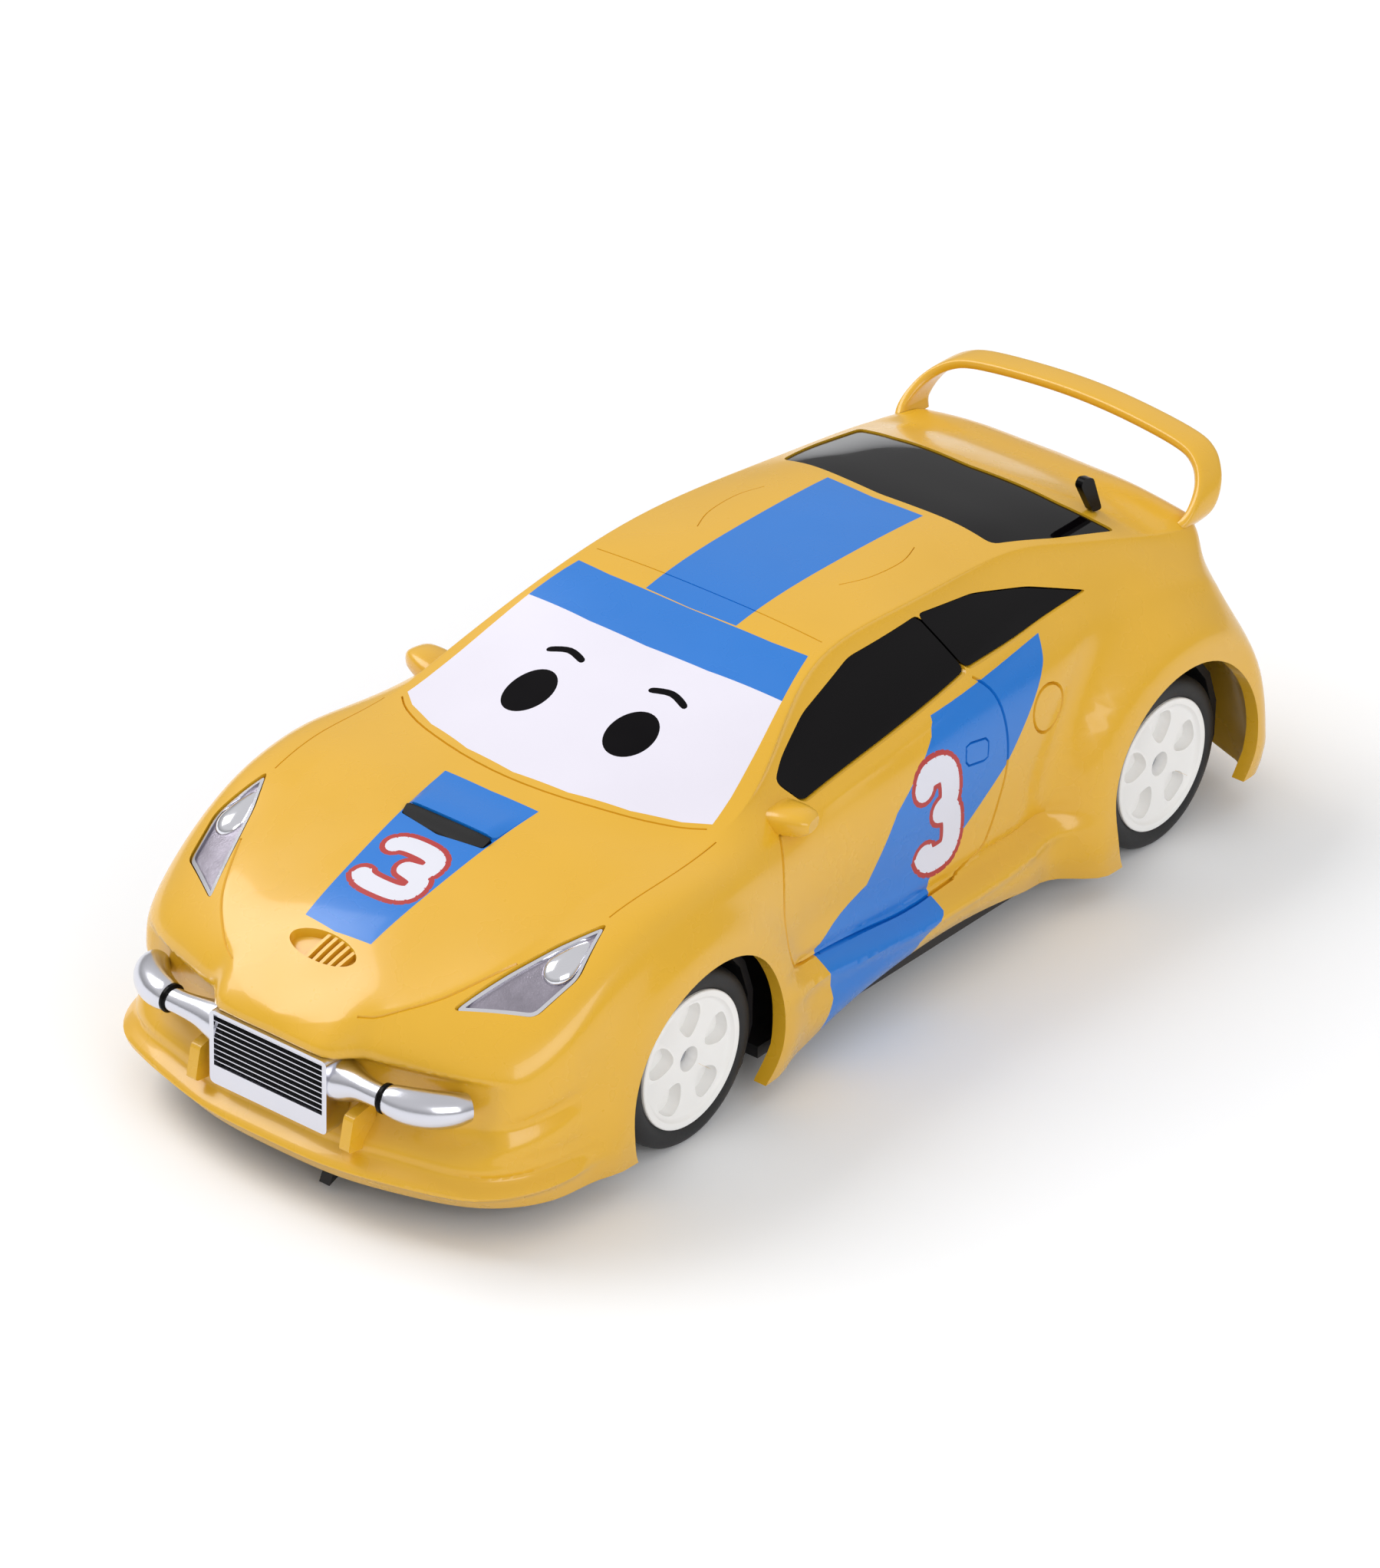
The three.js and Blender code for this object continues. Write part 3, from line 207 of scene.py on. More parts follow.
def rounded(points, steps=6, closed=True):
    """A Catmull-Rom curve through the points."""
    points = [np.array(p, float) for p in points]
    count = len(points)
    result = []
    for k in range(count if closed else count - 1):
        a, b, c, d = (points[(k + s) % count if closed else min(max(k + s, 0), count - 1)]
                      for s in (-1, 0, 1, 2))
        for s in range(steps):
            t = s / steps
            result.append(0.5 * (2 * b + (c - a) * t + (2 * a - 5 * b + 4 * c - d) * t ** 2
                                 + (3 * b - a - 3 * c + d) * t ** 3))
    if not closed:
        result.append(points[-1])
    return [tuple(p) for p in result]


def filleted(points, radius, steps=4):
    """The same outline with its corners rounded off."""
    result = []
    count = len(points)
    for k in range(count):
        before, corner, after = (np.array(points[(k + s) % count], float) for s in (-1, 0, 1))
        back, ahead = before - corner, after - corner
        reach = min(radius, np.linalg.norm(back) * 0.45, np.linalg.norm(ahead) * 0.45)
        start = corner + back / np.linalg.norm(back) * reach
        end = corner + ahead / np.linalg.norm(ahead) * reach
        for s in range(steps + 1):
            t = s / steps
            result.append(tuple((1 - t) ** 2 * start + 2 * t * (1 - t) * corner + t * t * end))
    return result


def area(points):
    """Area of an outline, positive if it runs anticlockwise."""
    return sum(p[0] * q[1] - q[0] * p[1] for p, q in zip(points, points[1:] + points[:1])) / 2


def shrunk(points, clearance):
    """The same outline moved inwards, or outwards if the clearance is negative."""
    turn = 1 if area(points) > 0 else -1
    result = []
    for k, point in enumerate(points):
        a = np.subtract(point, points[k - 1])
        b = np.subtract(points[(k + 1) % len(points)], point)
        a, b = a / max(np.linalg.norm(a), 1e-9), b / max(np.linalg.norm(b), 1e-9)
        inward = np.array([-a[1] - b[1], a[0] + b[0]]) * turn
        result.append(tuple(np.add(point, inward * clearance / max(1 + a @ b, 0.35))))
    return result


def mirrored(points):
    return [(-x, y) for x, y in points][::-1]


def symmetric(half):
    """A closed plan outline from its left half, which starts and ends on the centre line."""
    return half + [(-x, y) for x, y in half[::-1] if abs(x) > 1e-6]


def new_object(name, points, faces):
    mesh = bpy.data.meshes.new(name)
    mesh.from_pydata([tuple(map(float, p)) for p in points], [], [list(map(int, f)) for f in faces])
    mesh.update()
    obj = bpy.data.objects.new(name, mesh)
    bpy.context.scene.collection.objects.link(obj)
    return obj


def discard(*objs):
    for obj in objs:
        bpy.data.objects.remove(obj)


def copied(obj):
    twin = obj.copy()
    twin.data = obj.data.copy()
    bpy.context.scene.collection.objects.link(twin)
    return twin


def combine(target, tools, operation):
    """Applies one boolean after another and throws the tools away."""
    for tool in tools:
        modifier = target.modifiers.new("shape", "BOOLEAN")
        modifier.operation = operation
        modifier.solver = "MANIFOLD"
        modifier.object = tool
        bpy.context.view_layer.update()
        evaluated = target.evaluated_get(bpy.context.evaluated_depsgraph_get())
        mesh = bpy.data.meshes.new_from_object(evaluated)
        target.modifiers.clear()
        target.data = mesh
        discard(tool)
    return target


def cut(target, *tools):
    return combine(target, tools, "DIFFERENCE")


def common(target, *tools):
    return combine(target, tools, "INTERSECT")


def join(target, *tools):
    return combine(target, tools, "UNION")


def ring_faces(rings, count, closed=False):
    """Faces between neighbouring rings of count points, numbered ring after ring."""
    faces = []
    for k in range(rings if closed else rings - 1):
        start, ahead = k * count, (k + 1) % rings * count
        for s in range(count):
            t = (s + 1) % count
            faces.append([start + s, start + t, ahead + t, ahead + s])
    return faces


def capped(rings, count):
    """The same with both end rings closed."""
    last = (rings - 1) * count
    return ring_faces(rings, count) + [list(range(count))[::-1], list(range(last, last + count))]


def prism(outline, axis, low, high):
    """A straight solid over a plan outline (axis z) or a side-view outline (axis x)."""
    if area(outline) < 0:
        outline = outline[::-1]
    if axis == "z":
        points = [(u, v, h) for h in (low, high) for u, v in outline]
    else:
        points = [(h, u, v) for h in (low, high) for u, v in outline]
    return new_object("prism", points, capped(2, len(outline)))


def side_prism(outline, sign, low=12, high=34):
    return prism(outline, "x", *sorted((sign * low, sign * high)))


def box(low, high):
    outline = [(low[0], low[1]), (high[0], low[1]), (high[0], high[1]), (low[0], high[1])]
    return prism(outline, "z", low[2], high[2])


def lathed(profile, segments):
    """A solid turned about the X axis from (radius, x) points that run round a closed section."""
    points = []
    for s in range(segments):
        angle = 2 * math.pi * s / segments
        points += [(x, r * math.cos(angle), r * math.sin(angle)) for r, x in profile]
    return outward(new_object("lathed", points, ring_faces(segments, len(profile), closed=True)))


def outward(obj):
    """Turns the faces of a closed solid outwards, judged by the sign of its volume."""
    mesh = obj.data
    mesh.calc_loop_triangles()
    co = np.array([v.co[:] for v in mesh.vertices])
    tri = np.array([t.vertices[:] for t in mesh.loop_triangles])
    volume = np.einsum("ij,ij->i", co[tri[:, 0]], np.cross(co[tri[:, 1]], co[tri[:, 2]])).sum()
    if volume < 0:
        mesh.flip_normals()
    return obj


def swept(path, section):
    """A solid along a path. section(k, t) gives its outline as (across, up) points."""
    path = [np.array(p, float) for p in path]
    last = len(path) - 1
    up = np.array([0, 0, 1.0])
    points = []
    for k, centre in enumerate(path):
        ahead = path[min(k + 1, last)] - path[max(k - 1, 0)]
        ahead /= np.linalg.norm(ahead)
        across = np.cross(ahead, up)
        across /= max(np.linalg.norm(across), 1e-9)
        over = np.cross(across, ahead)
        for u, v in section(k, k / last):
            points.append(centre + across * u + over * v)
    return outward(new_object("swept", points, capped(len(path), len(points) // len(path))))


def circle(radius, count=28):
    angles = [2 * math.pi * k / count for k in range(count)]
    return [(radius * math.cos(a), radius * math.sin(a)) for a in angles]


def finish_piece(obj, name, material, body="car_body", stands_for=(), sharp=32,
                 on_body=False):
    """Puts a shape in millimetres into the CAD frame, shades it and fixes it to its body."""
    obj.name = obj.data.name = name
    mesh = obj.data
    normals = skin_normals(mesh) if on_body else None
    co = np.array([v.co[:] for v in mesh.vertices]) * MM
    co[:, 1] += MIDDLE_Y
    mesh.vertices.foreach_set("co", co.astype(np.float32).ravel())
    mesh.materials.clear()
    mesh.materials.append(material)
    mesh.polygons.foreach_set("material_index", np.zeros(len(mesh.polygons), np.int32))
    mesh.polygons.foreach_set("use_smooth", np.ones(len(mesh.polygons), bool))
    mesh.set_sharp_from_angle(angle=math.radians(sharp))
    mesh.update()
    if normals:
        mesh.normals_split_custom_set(normals)
    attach(obj, body)
    if stands_for:
        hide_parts(*stands_for)
    return obj


# ---------- the body surface ----------
def basis(t):
    """Weights of the four control points of a uniform cubic B-spline."""
    return np.array([(1 - t) ** 3, 3 * t ** 3 - 6 * t ** 2 + 4,
                     -3 * t ** 3 + 3 * t ** 2 + 3 * t + 1, t ** 3]) / 6


def spline_matrix(count, steps):
    """Weights of the control points for evenly spaced places along a spline."""
    stations = np.linspace(0, count - 1, (count - 1) * steps + 1)
    matrix = np.zeros((len(stations), count + 2))
    for row, s in enumerate(stations):
        k = min(int(s), count - 2)
        matrix[row, k:k + 4] = basis(s - k)
    return matrix


def surface(lines, line_steps, station_steps):
    """The half body over a net of control points, continued across the centre plane."""
    mirror = np.array([-1, 1, 1.0])
    grid = np.concatenate([lines[1:2] * mirror, lines, 2 * lines[-1:] - lines[-2:-1]])
    grid = np.concatenate([grid[:, 1:2] * mirror, grid, grid[:, -2:-1] * mirror], 1)
    down = spline_matrix(lines.shape[0], line_steps)
    along = spline_matrix(lines.shape[1], station_steps)
    return np.einsum("ij,jkl,mk->iml", down, grid, along)


def control_lines():
    """Control points whose surface runs close to the feature lines, the creased line doubled."""
    target = np.array(FEATURE_LINES, float)
    lines = target.copy()
    for _ in range(2):
        lines = lines + target - surface(lines, 1, 1)
        lines[0, :, 0] = lines[:, 0, 0] = lines[:, -1, 0] = 0
    order = [k for k in range(len(lines)) for _ in range(2 if k == CREASED_LINE else 1)]
    return lines[order]


def half_body(line_steps, station_steps):
    grid = surface(control_lines(), line_steps, station_steps)
    for y, inner, outer, swell in FLARES:
        reach = np.hypot(grid[..., 1] - y, grid[..., 2] - AXLE_Z)
        side = np.clip((grid[..., 0] - 18) / 5, 0, 1)
        grid[..., 0] += swell * smooth((outer - reach) / (outer - inner)) * side
        ahead = smooth((y + 2 - grid[..., 1]) / 8)
        valley = ridge(reach, outer + 1.4, 2.4)
        grid[..., 0] -= VALLEY_SHARE * swell * valley * side * ahead
    return sculpted(grid)


def ridge(value, middle, width):
    """A soft bump of height 1 where the value is at the middle."""
    return np.exp(-((value - middle) / width) ** 2)


def sculpted(grid):
    """Detail finer than the feature lines. Every part reads the places before any has moved."""
    places = [grid[..., k].copy() for k in range(3)]
    flick_tail(grid, *places)
    shape_nose(grid, *places)
    crease_side(grid, *places)
    return grid


def flick_tail(grid, x, y, z):
    tail = smooth((y - 45.5) / 7) * smooth((z - 28.2) / 3)
    grid[..., 2] = z + TAIL_RISE * tail * smooth((21 - x) / 3)
    grid[..., 1] = y + TAIL_REACH * tail


def shape_nose(grid, x, y, z):
    """Undercuts the nose behind the pipes, brings it over the grille and draws the lip."""
    front = smooth((-58 - y) / 6)
    nose = front * smooth((25.5 - x) / 4)
    undercut = smooth((18.9 - z) / 1.1) * smooth((z - 9.6) / 2.6)
    grid[..., 1] += UNDERCUT * nose * undercut
    over_grille = smooth((10.4 - x) / 3.4) * smooth((z - 17.4) / 1.2) * smooth((24.6 - z) / 5.2)
    grid[..., 1] -= GRILLE_OVERHANG * nose * over_grille
    corner = smooth((-56 - y) / 5) * smooth((x - 19) / 4)
    folds = ridge(z, 13.2 + 0.16 * (y + 68), 1.1) + 0.6 * ridge(z, 9.9, 0.9)
    grid[..., 0] -= CORNER_FOLD * corner * folds
    lip = 0.6 * ridge(z, 6.9, 0.6) - 0.5 * ridge(z, 8.4, 0.6)
    grid[..., 1] -= front * lip
    grid[..., 0] += corner * lip


def crease_side(grid, x, y, z):
    """The valley and ledge below the door and the line under the side windows."""
    side = smooth((x - 20) / 3)
    sill = np.interp(y, *SILL_LINE)
    between = smooth((y + 27) / 3) * smooth((24 - y) / 5) * side
    grid[..., 0] -= SILL_VALLEY * between * ridge(z, sill, 0.75)
    grid[..., 0] += SILL_LEDGE * between * ridge(z, sill - 2.1, 0.8)
    belt = 28.9 + 0.118 * (y + 19)
    along = smooth((y + 20) / 5) * smooth((26 - y) / 8)
    grid[..., 0] += BELT_RISE * along * side * ridge(z, belt, 0.6)


def body_mesh(inset=0.0, skirt_z=None, fine=True):
    """(points, faces) of the closed solid inside the body surface, moved inwards by inset."""
    half = half_body(6, 7) if fine else half_body(1, 2)
    rows, columns = half.shape[:2]
    points, number = [], {}

    def vertex(side, i, j):
        shared = i == 0 or j in (0, columns - 1)
        key = (1 if shared else side, i, j)
        if key not in number:
            number[key] = len(points)
            x, y, z = half[i, j]
            points.append((0.0 if shared else side * x, y, z))
        return number[key]

    faces = []
    for side in (1, -1):
        for i in range(rows - 1):
            for j in range(columns - 1):
                face = [vertex(side, *c) for c in ((i, j), (i + 1, j), (i + 1, j + 1), (i, j + 1))]
                face = list(dict.fromkeys(face))
                if len(face) > 2:
                    faces.append(face if side > 0 else face[::-1])
    points = np.array(points)
    normals = np.zeros_like(points)
    for face in faces:
        corner = points[face]
        normals[face] += np.cross(corner[2] - corner[0], corner[-1] - corner[1] if len(face) > 3
                                  else corner[2] - corner[1])
    normals /= np.maximum(np.linalg.norm(normals, axis=1)[:, None], 1e-12)
    points = points - inset * normals
    skin = list(faces)

    edge = [vertex(1, rows - 1, j) for j in range(columns)]
    other = [vertex(-1, rows - 1, j) for j in range(columns)]
    if skirt_z is not None:
        foot = {v: len(points) + k for k, v in enumerate(dict.fromkeys(edge + other))}
        points = np.concatenate([points, [(points[v][0], points[v][1], skirt_z) for v in foot]])
        for j in range(columns - 1):
            faces.append([edge[j], foot[edge[j]], foot[edge[j + 1]], edge[j + 1]])
            faces.append([other[j + 1], foot[other[j + 1]], foot[other[j]], other[j]])
        edge = [foot[v] for v in edge]
        other = [foot[v] for v in other]
    for j in range(columns - 1):
        face = list(dict.fromkeys([edge[j], other[j], other[j + 1], edge[j + 1]]))
        if len(face) > 2:
            faces.append(face)
    return points, faces, skin, normals


def body_solid(inset=0.0, skirt_z=None, fine=True):
    points, faces, _, _ = body_mesh(inset, skirt_z, fine)
    return new_object("body", points, faces)


OUTER_POINTS, _, OUTER_SKIN, OUTER_NORMALS = body_mesh()
SKIN = BVHTree.FromPolygons([Vector(p) for p in OUTER_POINTS], OUTER_SKIN)


def on_skin(u, v, view, sign=1):
    """The point on the body at (x, y) in plan, (y, z) from one side or (x, z) from behind."""
    if view == "plan":
        near, heading = Vector((u, v, 30)), Vector((0, 0, -1))
    elif view == "side":
        near, heading = Vector((sign * 26, u, v)), Vector((-sign, 0, 0))
    else:
        near, heading = Vector((u, 58, v)), Vector((0, -1, 0))
    point, normal, _, _ = SKIN.ray_cast(near - 60 * heading, heading)
    if point is None:
        point, normal, _, _ = SKIN.find_nearest(near)
    if normal.dot(heading) > 0:
        normal = -normal
    return np.array(point), np.array(normal)


ON_SKIN_GAP = 0.02
ON_SKIN_COSINE = math.cos(math.radians(25))


def skin_normals(mesh):
    """Corner normals of the uncut body for faces that lie on it, and zero, which leaves the rest."""
    smooth_at = {}
    for vertex in mesh.vertices:
        spot, _, face, _ = SKIN.find_nearest(vertex.co, ON_SKIN_GAP)
        if spot is not None:
            corners = OUTER_SKIN[face]
            weights = poly_3d_calc([Vector(OUTER_POINTS[c]) for c in corners], spot)
            smooth_at[vertex.index] = Vector(np.array(weights) @ OUTER_NORMALS[corners]).normalized()
    normals = [Vector((0, 0, 0))] * len(mesh.loops)
    for polygon in mesh.polygons:
        if all(v in smooth_at for v in polygon.vertices):
            for loop in polygon.loop_indices:
                normal = smooth_at[mesh.loops[loop].vertex_index]
                if normal.dot(polygon.normal) > ON_SKIN_COSINE:
                    normals[loop] = normal
    return normals


def resampled(path, spacing):
    """Evenly spaced points along a path, its ends included."""
    path = np.array(path, float)
    reach = np.concatenate([[0], np.cumsum(np.linalg.norm(np.diff(path, axis=0), axis=1))])
    stops = np.linspace(0, reach[-1], max(int(reach[-1] / spacing), 2) + 1)
    return np.stack([np.interp(stops, reach, path[:, k]) for k in range(path.shape[1])], 1)


GROOVE_STEP = 0.8
GROOVE_LIFT = 0.35  # how far a groove's cutter stands out of the surface


def groove(path, view, sign=1, width=0.36, depth=0.42, closed=False):
    """A V-shaped cutter along a line on the body."""
    stops = resampled(path + path[:1] if closed else path, GROOVE_STEP)
    if closed:
        stops = stops[:-1]
    spots = [on_skin(u, v, view, sign) for u, v in stops]
    centres = np.array([p for p, _ in spots])
    normals = np.array([n for _, n in spots])
    count = len(centres)
    order = np.arange(count)
    before, after = ((order + s) % count if closed else np.clip(order + s, 0, count - 1)
                     for s in (-1, 1))
    for _ in range(2):
        around = normals[before] + normals[after]
        if not closed:
            around[[0, -1]] = 2 * normals[[0, -1]]
        normals = normals + around / 2
        normals /= np.linalg.norm(normals, axis=1)[:, None]
    points = []
    for k, ahead in enumerate(centres[after] - centres[before]):
        across = np.cross(ahead, normals[k])
        across /= np.linalg.norm(across)
        lift = normals[k] * GROOVE_LIFT
        points += [centres[k] - across * width + lift, centres[k] + across * width + lift,
                   centres[k] - normals[k] * depth]
    faces = ring_faces(count, 3, closed=True) if closed else capped(count, 3)
    return outward(new_object("groove", points, faces))


def pad_on_skin(outline, view, height, sign=1, depth=0.8, spacing=0.7):
    """A solid that stands on the body inside an outline; height(u, v) is above the surface."""
    if area(outline) < 0:
        outline = outline[::-1]
    rim = resampled(list(outline) + [outline[0]], spacing)[:-1]
    low, high = rim.min(0), rim.max(0)
    lattice = [(u, v) for u in np.arange(low[0], high[0], spacing)
               for v in np.arange(low[1], high[1], spacing)]
    clear = spacing * 0.45
    seeds = [(u, v) for u, v in lattice
             if inside(u, v, rim) and np.hypot(rim[:, 0] - u, rim[:, 1] - v).min() > clear]
    flat = [Vector(p) for p in rim] + [Vector(p) for p in seeds]
    edges = [(k, (k + 1) % len(rim)) for k in range(len(rim))]
    verts, _, tris, *_ = delaunay_2d_cdt(flat, edges, [], 1, 1e-5)
    top, bottom = [], []
    for v in verts:
        point, normal = on_skin(v.x, v.y, view, sign)
        top.append(point + normal * height(v.x, v.y))
        bottom.append(point - normal * depth)
    count = len(top)
    faces = [list(t) for t in tris] + [[count + k for k in t][::-1] for t in tris]
    used = dict.fromkeys(pair for t in tris for pair in zip(t, list(t[1:]) + [t[0]]))
    faces += [[b, a, count + a, count + b] for a, b in used if (b, a) not in used]
    return outward(new_object("pad", top + bottom, faces))


def inside(u, v, outline):
    """Whether a point lies within an outline, by counting crossings."""
    hit = False
    for (a, b), (c, d) in zip(outline, np.roll(outline, -1, 0)):
        if (b > v) != (d > v) and u < (c - a) * (v - b) / (d - b) + a:
            hit = not hit
    return hit


# ---------- materials ----------
COAT_ROUGHNESS = 0.06
ROUGH_PATCH = 5  # size in mm of the patches that differ in roughness
BROAD_WAVE = 3.0  # size in mm of the broad bump


def node_material(name, color, roughness, metallic=0.0, coat=0.0, specular=0.5, tint=0.04,
                  blotch=14, uneven=0.04, grain=0.35, relief=0.004, swell=0.006):
    """A surface whose colour, roughness and relief vary a little, as on a moulded toy.

    tint is how far the colour drifts, blotch its size in mm, uneven the roughness drift, grain
    and relief the size and depth in mm of the fine bump, and swell the depth of the broad one.
    """
    material = bpy.data.materials.new(name)
    material.use_nodes = True
    tree = material.node_tree
    nodes, links = tree.nodes, tree.links
    shader = nodes["Principled BSDF"]
    shader.inputs["Metallic"].default_value = metallic
    shader.inputs["Coat Weight"].default_value = coat
    shader.inputs["Coat Roughness"].default_value = COAT_ROUGHNESS
    shader.inputs["Specular IOR Level"].default_value = specular
    place = nodes.new("ShaderNodeTexCoord")

    def noise(size_mm, detail=3.0):
        node = nodes.new("ShaderNodeTexNoise")
        node.inputs["Scale"].default_value = 1 / (size_mm * MM)
        node.inputs["Detail"].default_value = detail
        links.new(place.outputs["Object"], node.inputs["Vector"])
        return node.outputs["Fac"]

    def ranged(source, low, high):
        node = nodes.new("ShaderNodeMapRange")
        node.inputs["From Min"].default_value = 0.3
        node.inputs["From Max"].default_value = 0.7
        node.inputs["To Min"].default_value = low
        node.inputs["To Max"].default_value = high
        links.new(source, node.inputs["Value"])
        return node.outputs["Result"]

    def bump(height, depth_mm):
        node = nodes.new("ShaderNodeBump")
        node.inputs["Distance"].default_value = depth_mm * MM
        links.new(height, node.inputs["Height"])
        return node

    ramp = nodes.new("ShaderNodeValToRGB")
    for element, position, share in zip(ramp.color_ramp.elements, (0.3, 0.7), (1 - tint, 1 + tint)):
        element.position = position
        element.color = (*[min(c * share, 1) for c in color], 1)
    links.new(noise(blotch), ramp.inputs["Fac"])
    links.new(ramp.outputs["Color"], shader.inputs["Base Color"])

    rough = ranged(noise(ROUGH_PATCH), max(roughness - uneven, 0.02), roughness + uneven)
    links.new(rough, shader.inputs["Roughness"])

    fine = bump(noise(grain, 4.0), relief)
    broad = bump(noise(BROAD_WAVE, 1.0), swell)
    links.new(fine.outputs["Normal"], broad.inputs["Normal"])
    links.new(broad.outputs["Normal"], shader.inputs["Normal"])
    return material


def srgb(*color):
    """The linear colour of display values from 0 to 255."""
    return tuple((c / 255 / 12.92) if c < 11 else ((c / 255 + 0.055) / 1.055) ** 2.4 for c in color)


YELLOW = node_material("yellow_moulding", srgb(225, 173, 38), 0.28, coat=0.35, tint=0.02,
                       relief=0.001, swell=0.002)
BLUE = node_material("blue_print", srgb(16, 116, 206), 0.28, coat=0.2, tint=0.02,
                     relief=0.001, swell=0.002)
WHITE_STICKER = node_material("white_sticker", srgb(228, 224, 236), 0.38, tint=0.015, swell=0.012)
NUMBER_WHITE = node_material("number_white", srgb(222, 222, 232), 0.36, tint=0.02)
NUMBER_RED = node_material("number_red", srgb(176, 44, 40), 0.36, tint=0.04)
INK = node_material("black_ink", srgb(10, 8, 11), 0.6, tint=0.1, specular=0.05)
SMOKED = node_material("smoked_window", srgb(7, 5, 7), 0.06, tint=0.15, relief=0.001, specular=0.16)
CHROME = node_material("plated_trim", srgb(216, 216, 224), 0.22, 1.0, tint=0.03, swell=0.01)
LAMP_FIELD = node_material("lamp_field", srgb(158, 152, 164), 0.34, 0.85, tint=0.1, blotch=1.2,
                           grain=0.22, relief=0.03, uneven=0.1)
LAMP_BULB = node_material("lamp_bulb", srgb(230, 230, 236), 0.14, 1.0, tint=0.03)
BLACK_TRIM = node_material("black_trim", srgb(9, 8, 9), 0.2, tint=0.1, specular=0.08)
BLACK_PLASTIC = node_material("black_plastic", srgb(22, 21, 23), 0.5, tint=0.12, relief=0.012)
HUB_WHITE = node_material("hub_white", srgb(244, 243, 241), 0.36, tint=0.02, uneven=0.06)
RUBBER = node_material("rubber", srgb(20, 20, 22), 0.55, tint=0.14, relief=0.014, grain=0.5)
STEEL = node_material("steel", srgb(178, 180, 186), 0.28, 1.0, tint=0.05, grain=0.2, relief=0.006)
GEAR_PLASTIC = node_material("gear_plastic", srgb(226, 222, 208), 0.42, tint=0.03)
MOTOR_PLASTIC = node_material("motor_plastic", srgb(44, 44, 49), 0.4, tint=0.08)
CAD_FINISH = {
    "chassis": BLACK_PLASTIC, "axle_pinion": GEAR_PLASTIC, "intermediate_gear": GEAR_PLASTIC,
    "barrel_gear": GEAR_PLASTIC, "mainspring": STEEL, "motor_case_left": MOTOR_PLASTIC,
    "motor_case_right": MOTOR_PLASTIC, "axle_front": STEEL, "axle_rear": STEEL,
}


# ---------- camera, light and floor ----------
LENS_MM = 199.54
SENSOR_MM = 36
CAMERA_TURNS = (38.8649, 30.2470, 1.3121)  # azimuth, elevation and roll in degrees
CAMERA_AT = (0.497132, -0.625513, 0.480700)  # metres, from midway between the axles


def camera():
    data = bpy.data.cameras.new("camera")
    data.lens = LENS_MM
    data.sensor_width = SENSOR_MM
    azimuth, elevation, roll = (math.radians(a) for a in CAMERA_TURNS)
    back = Vector((math.sin(azimuth) * math.cos(elevation),
                   -math.cos(azimuth) * math.cos(elevation), math.sin(elevation)))
    level = Vector((math.cos(azimuth), math.sin(azimuth), 0))
    upright = back.cross(level)
    right = math.cos(roll) * level + math.sin(roll) * upright
    up = -math.sin(roll) * level + math.cos(roll) * upright
    obj = bpy.data.objects.new("camera", data)
    bpy.context.scene.collection.objects.link(obj)
    matrix = Matrix((right, up, back)).transposed().to_4x4()
    matrix.translation = Vector((CAMERA_AT[0], CAMERA_AT[1] + MIDDLE_Y, CAMERA_AT[2]))
    obj.matrix_world = matrix
    bpy.context.scene.camera = obj
    data.clip_end = 10


# brightness of the room against the height of the direction looked in
HORIZON_FADE = {"From Min": 0.02, "From Max": 0.5, "To Min": 0.3, "To Max": 0.72}
FLOOR_REACH = 3.0  # metres


def area_light(name, at, aim, size, power):
    data = bpy.data.lights.new(name, "AREA")
    data.shape = "RECTANGLE"
    data.size, data.size_y = size
    data.energy = power
    obj = bpy.data.objects.new(name, data)
    bpy.context.scene.collection.objects.link(obj)
    obj.location = at
    obj.rotation_euler = (Vector(aim) - Vector(at)).to_track_quat("-Z", "Y").to_euler()


def studio():
    """A white room, darker round the horizon so that plated parts show some contrast."""
    bpy.context.scene.view_settings.view_transform = "Standard"
    world = bpy.data.worlds.new("studio")
    bpy.context.scene.world = world
    world.use_nodes = True
    nodes, links = world.node_tree.nodes, world.node_tree.links
    place = nodes.new("ShaderNodeTexCoord")
    parts = nodes.new("ShaderNodeSeparateXYZ")
    brightness = nodes.new("ShaderNodeMapRange")
    for socket, value in HORIZON_FADE.items():
        brightness.inputs[socket].default_value = value
    links.new(place.outputs["Generated"], parts.inputs["Vector"])
    links.new(parts.outputs["Z"], brightness.inputs["Value"])
    links.new(brightness.outputs["Result"], nodes["Background"].inputs["Strength"])
    nodes["Background"].inputs["Color"].default_value = (1, 1, 1, 1)
    area_light("key", (-0.75, -0.2, 0.85), (0, 0, 0), (0.7, 0.7), 6.6)
    area_light("side", (0.75, -0.3, 0.42), (0, 0, 0.02), (0.6, 0.4), 2.2)
    floor_mesh = bpy.data.meshes.new("floor")
    corners = [(-FLOOR_REACH, -FLOOR_REACH, 0), (FLOOR_REACH, -FLOOR_REACH, 0),
               (FLOOR_REACH, FLOOR_REACH, 0), (-FLOOR_REACH, FLOOR_REACH, 0)]
    floor_mesh.from_pydata(corners, [], [(0, 1, 2, 3)])
    floor = bpy.data.objects.new("floor", floor_mesh)
    bpy.context.scene.collection.objects.link(floor)
    floor_mesh.materials.append(node_material("floor", (0.97, 0.98, 1.0), 0.6, tint=0.004,
                                              blotch=200, relief=0.0, swell=0.0, specular=0.1))


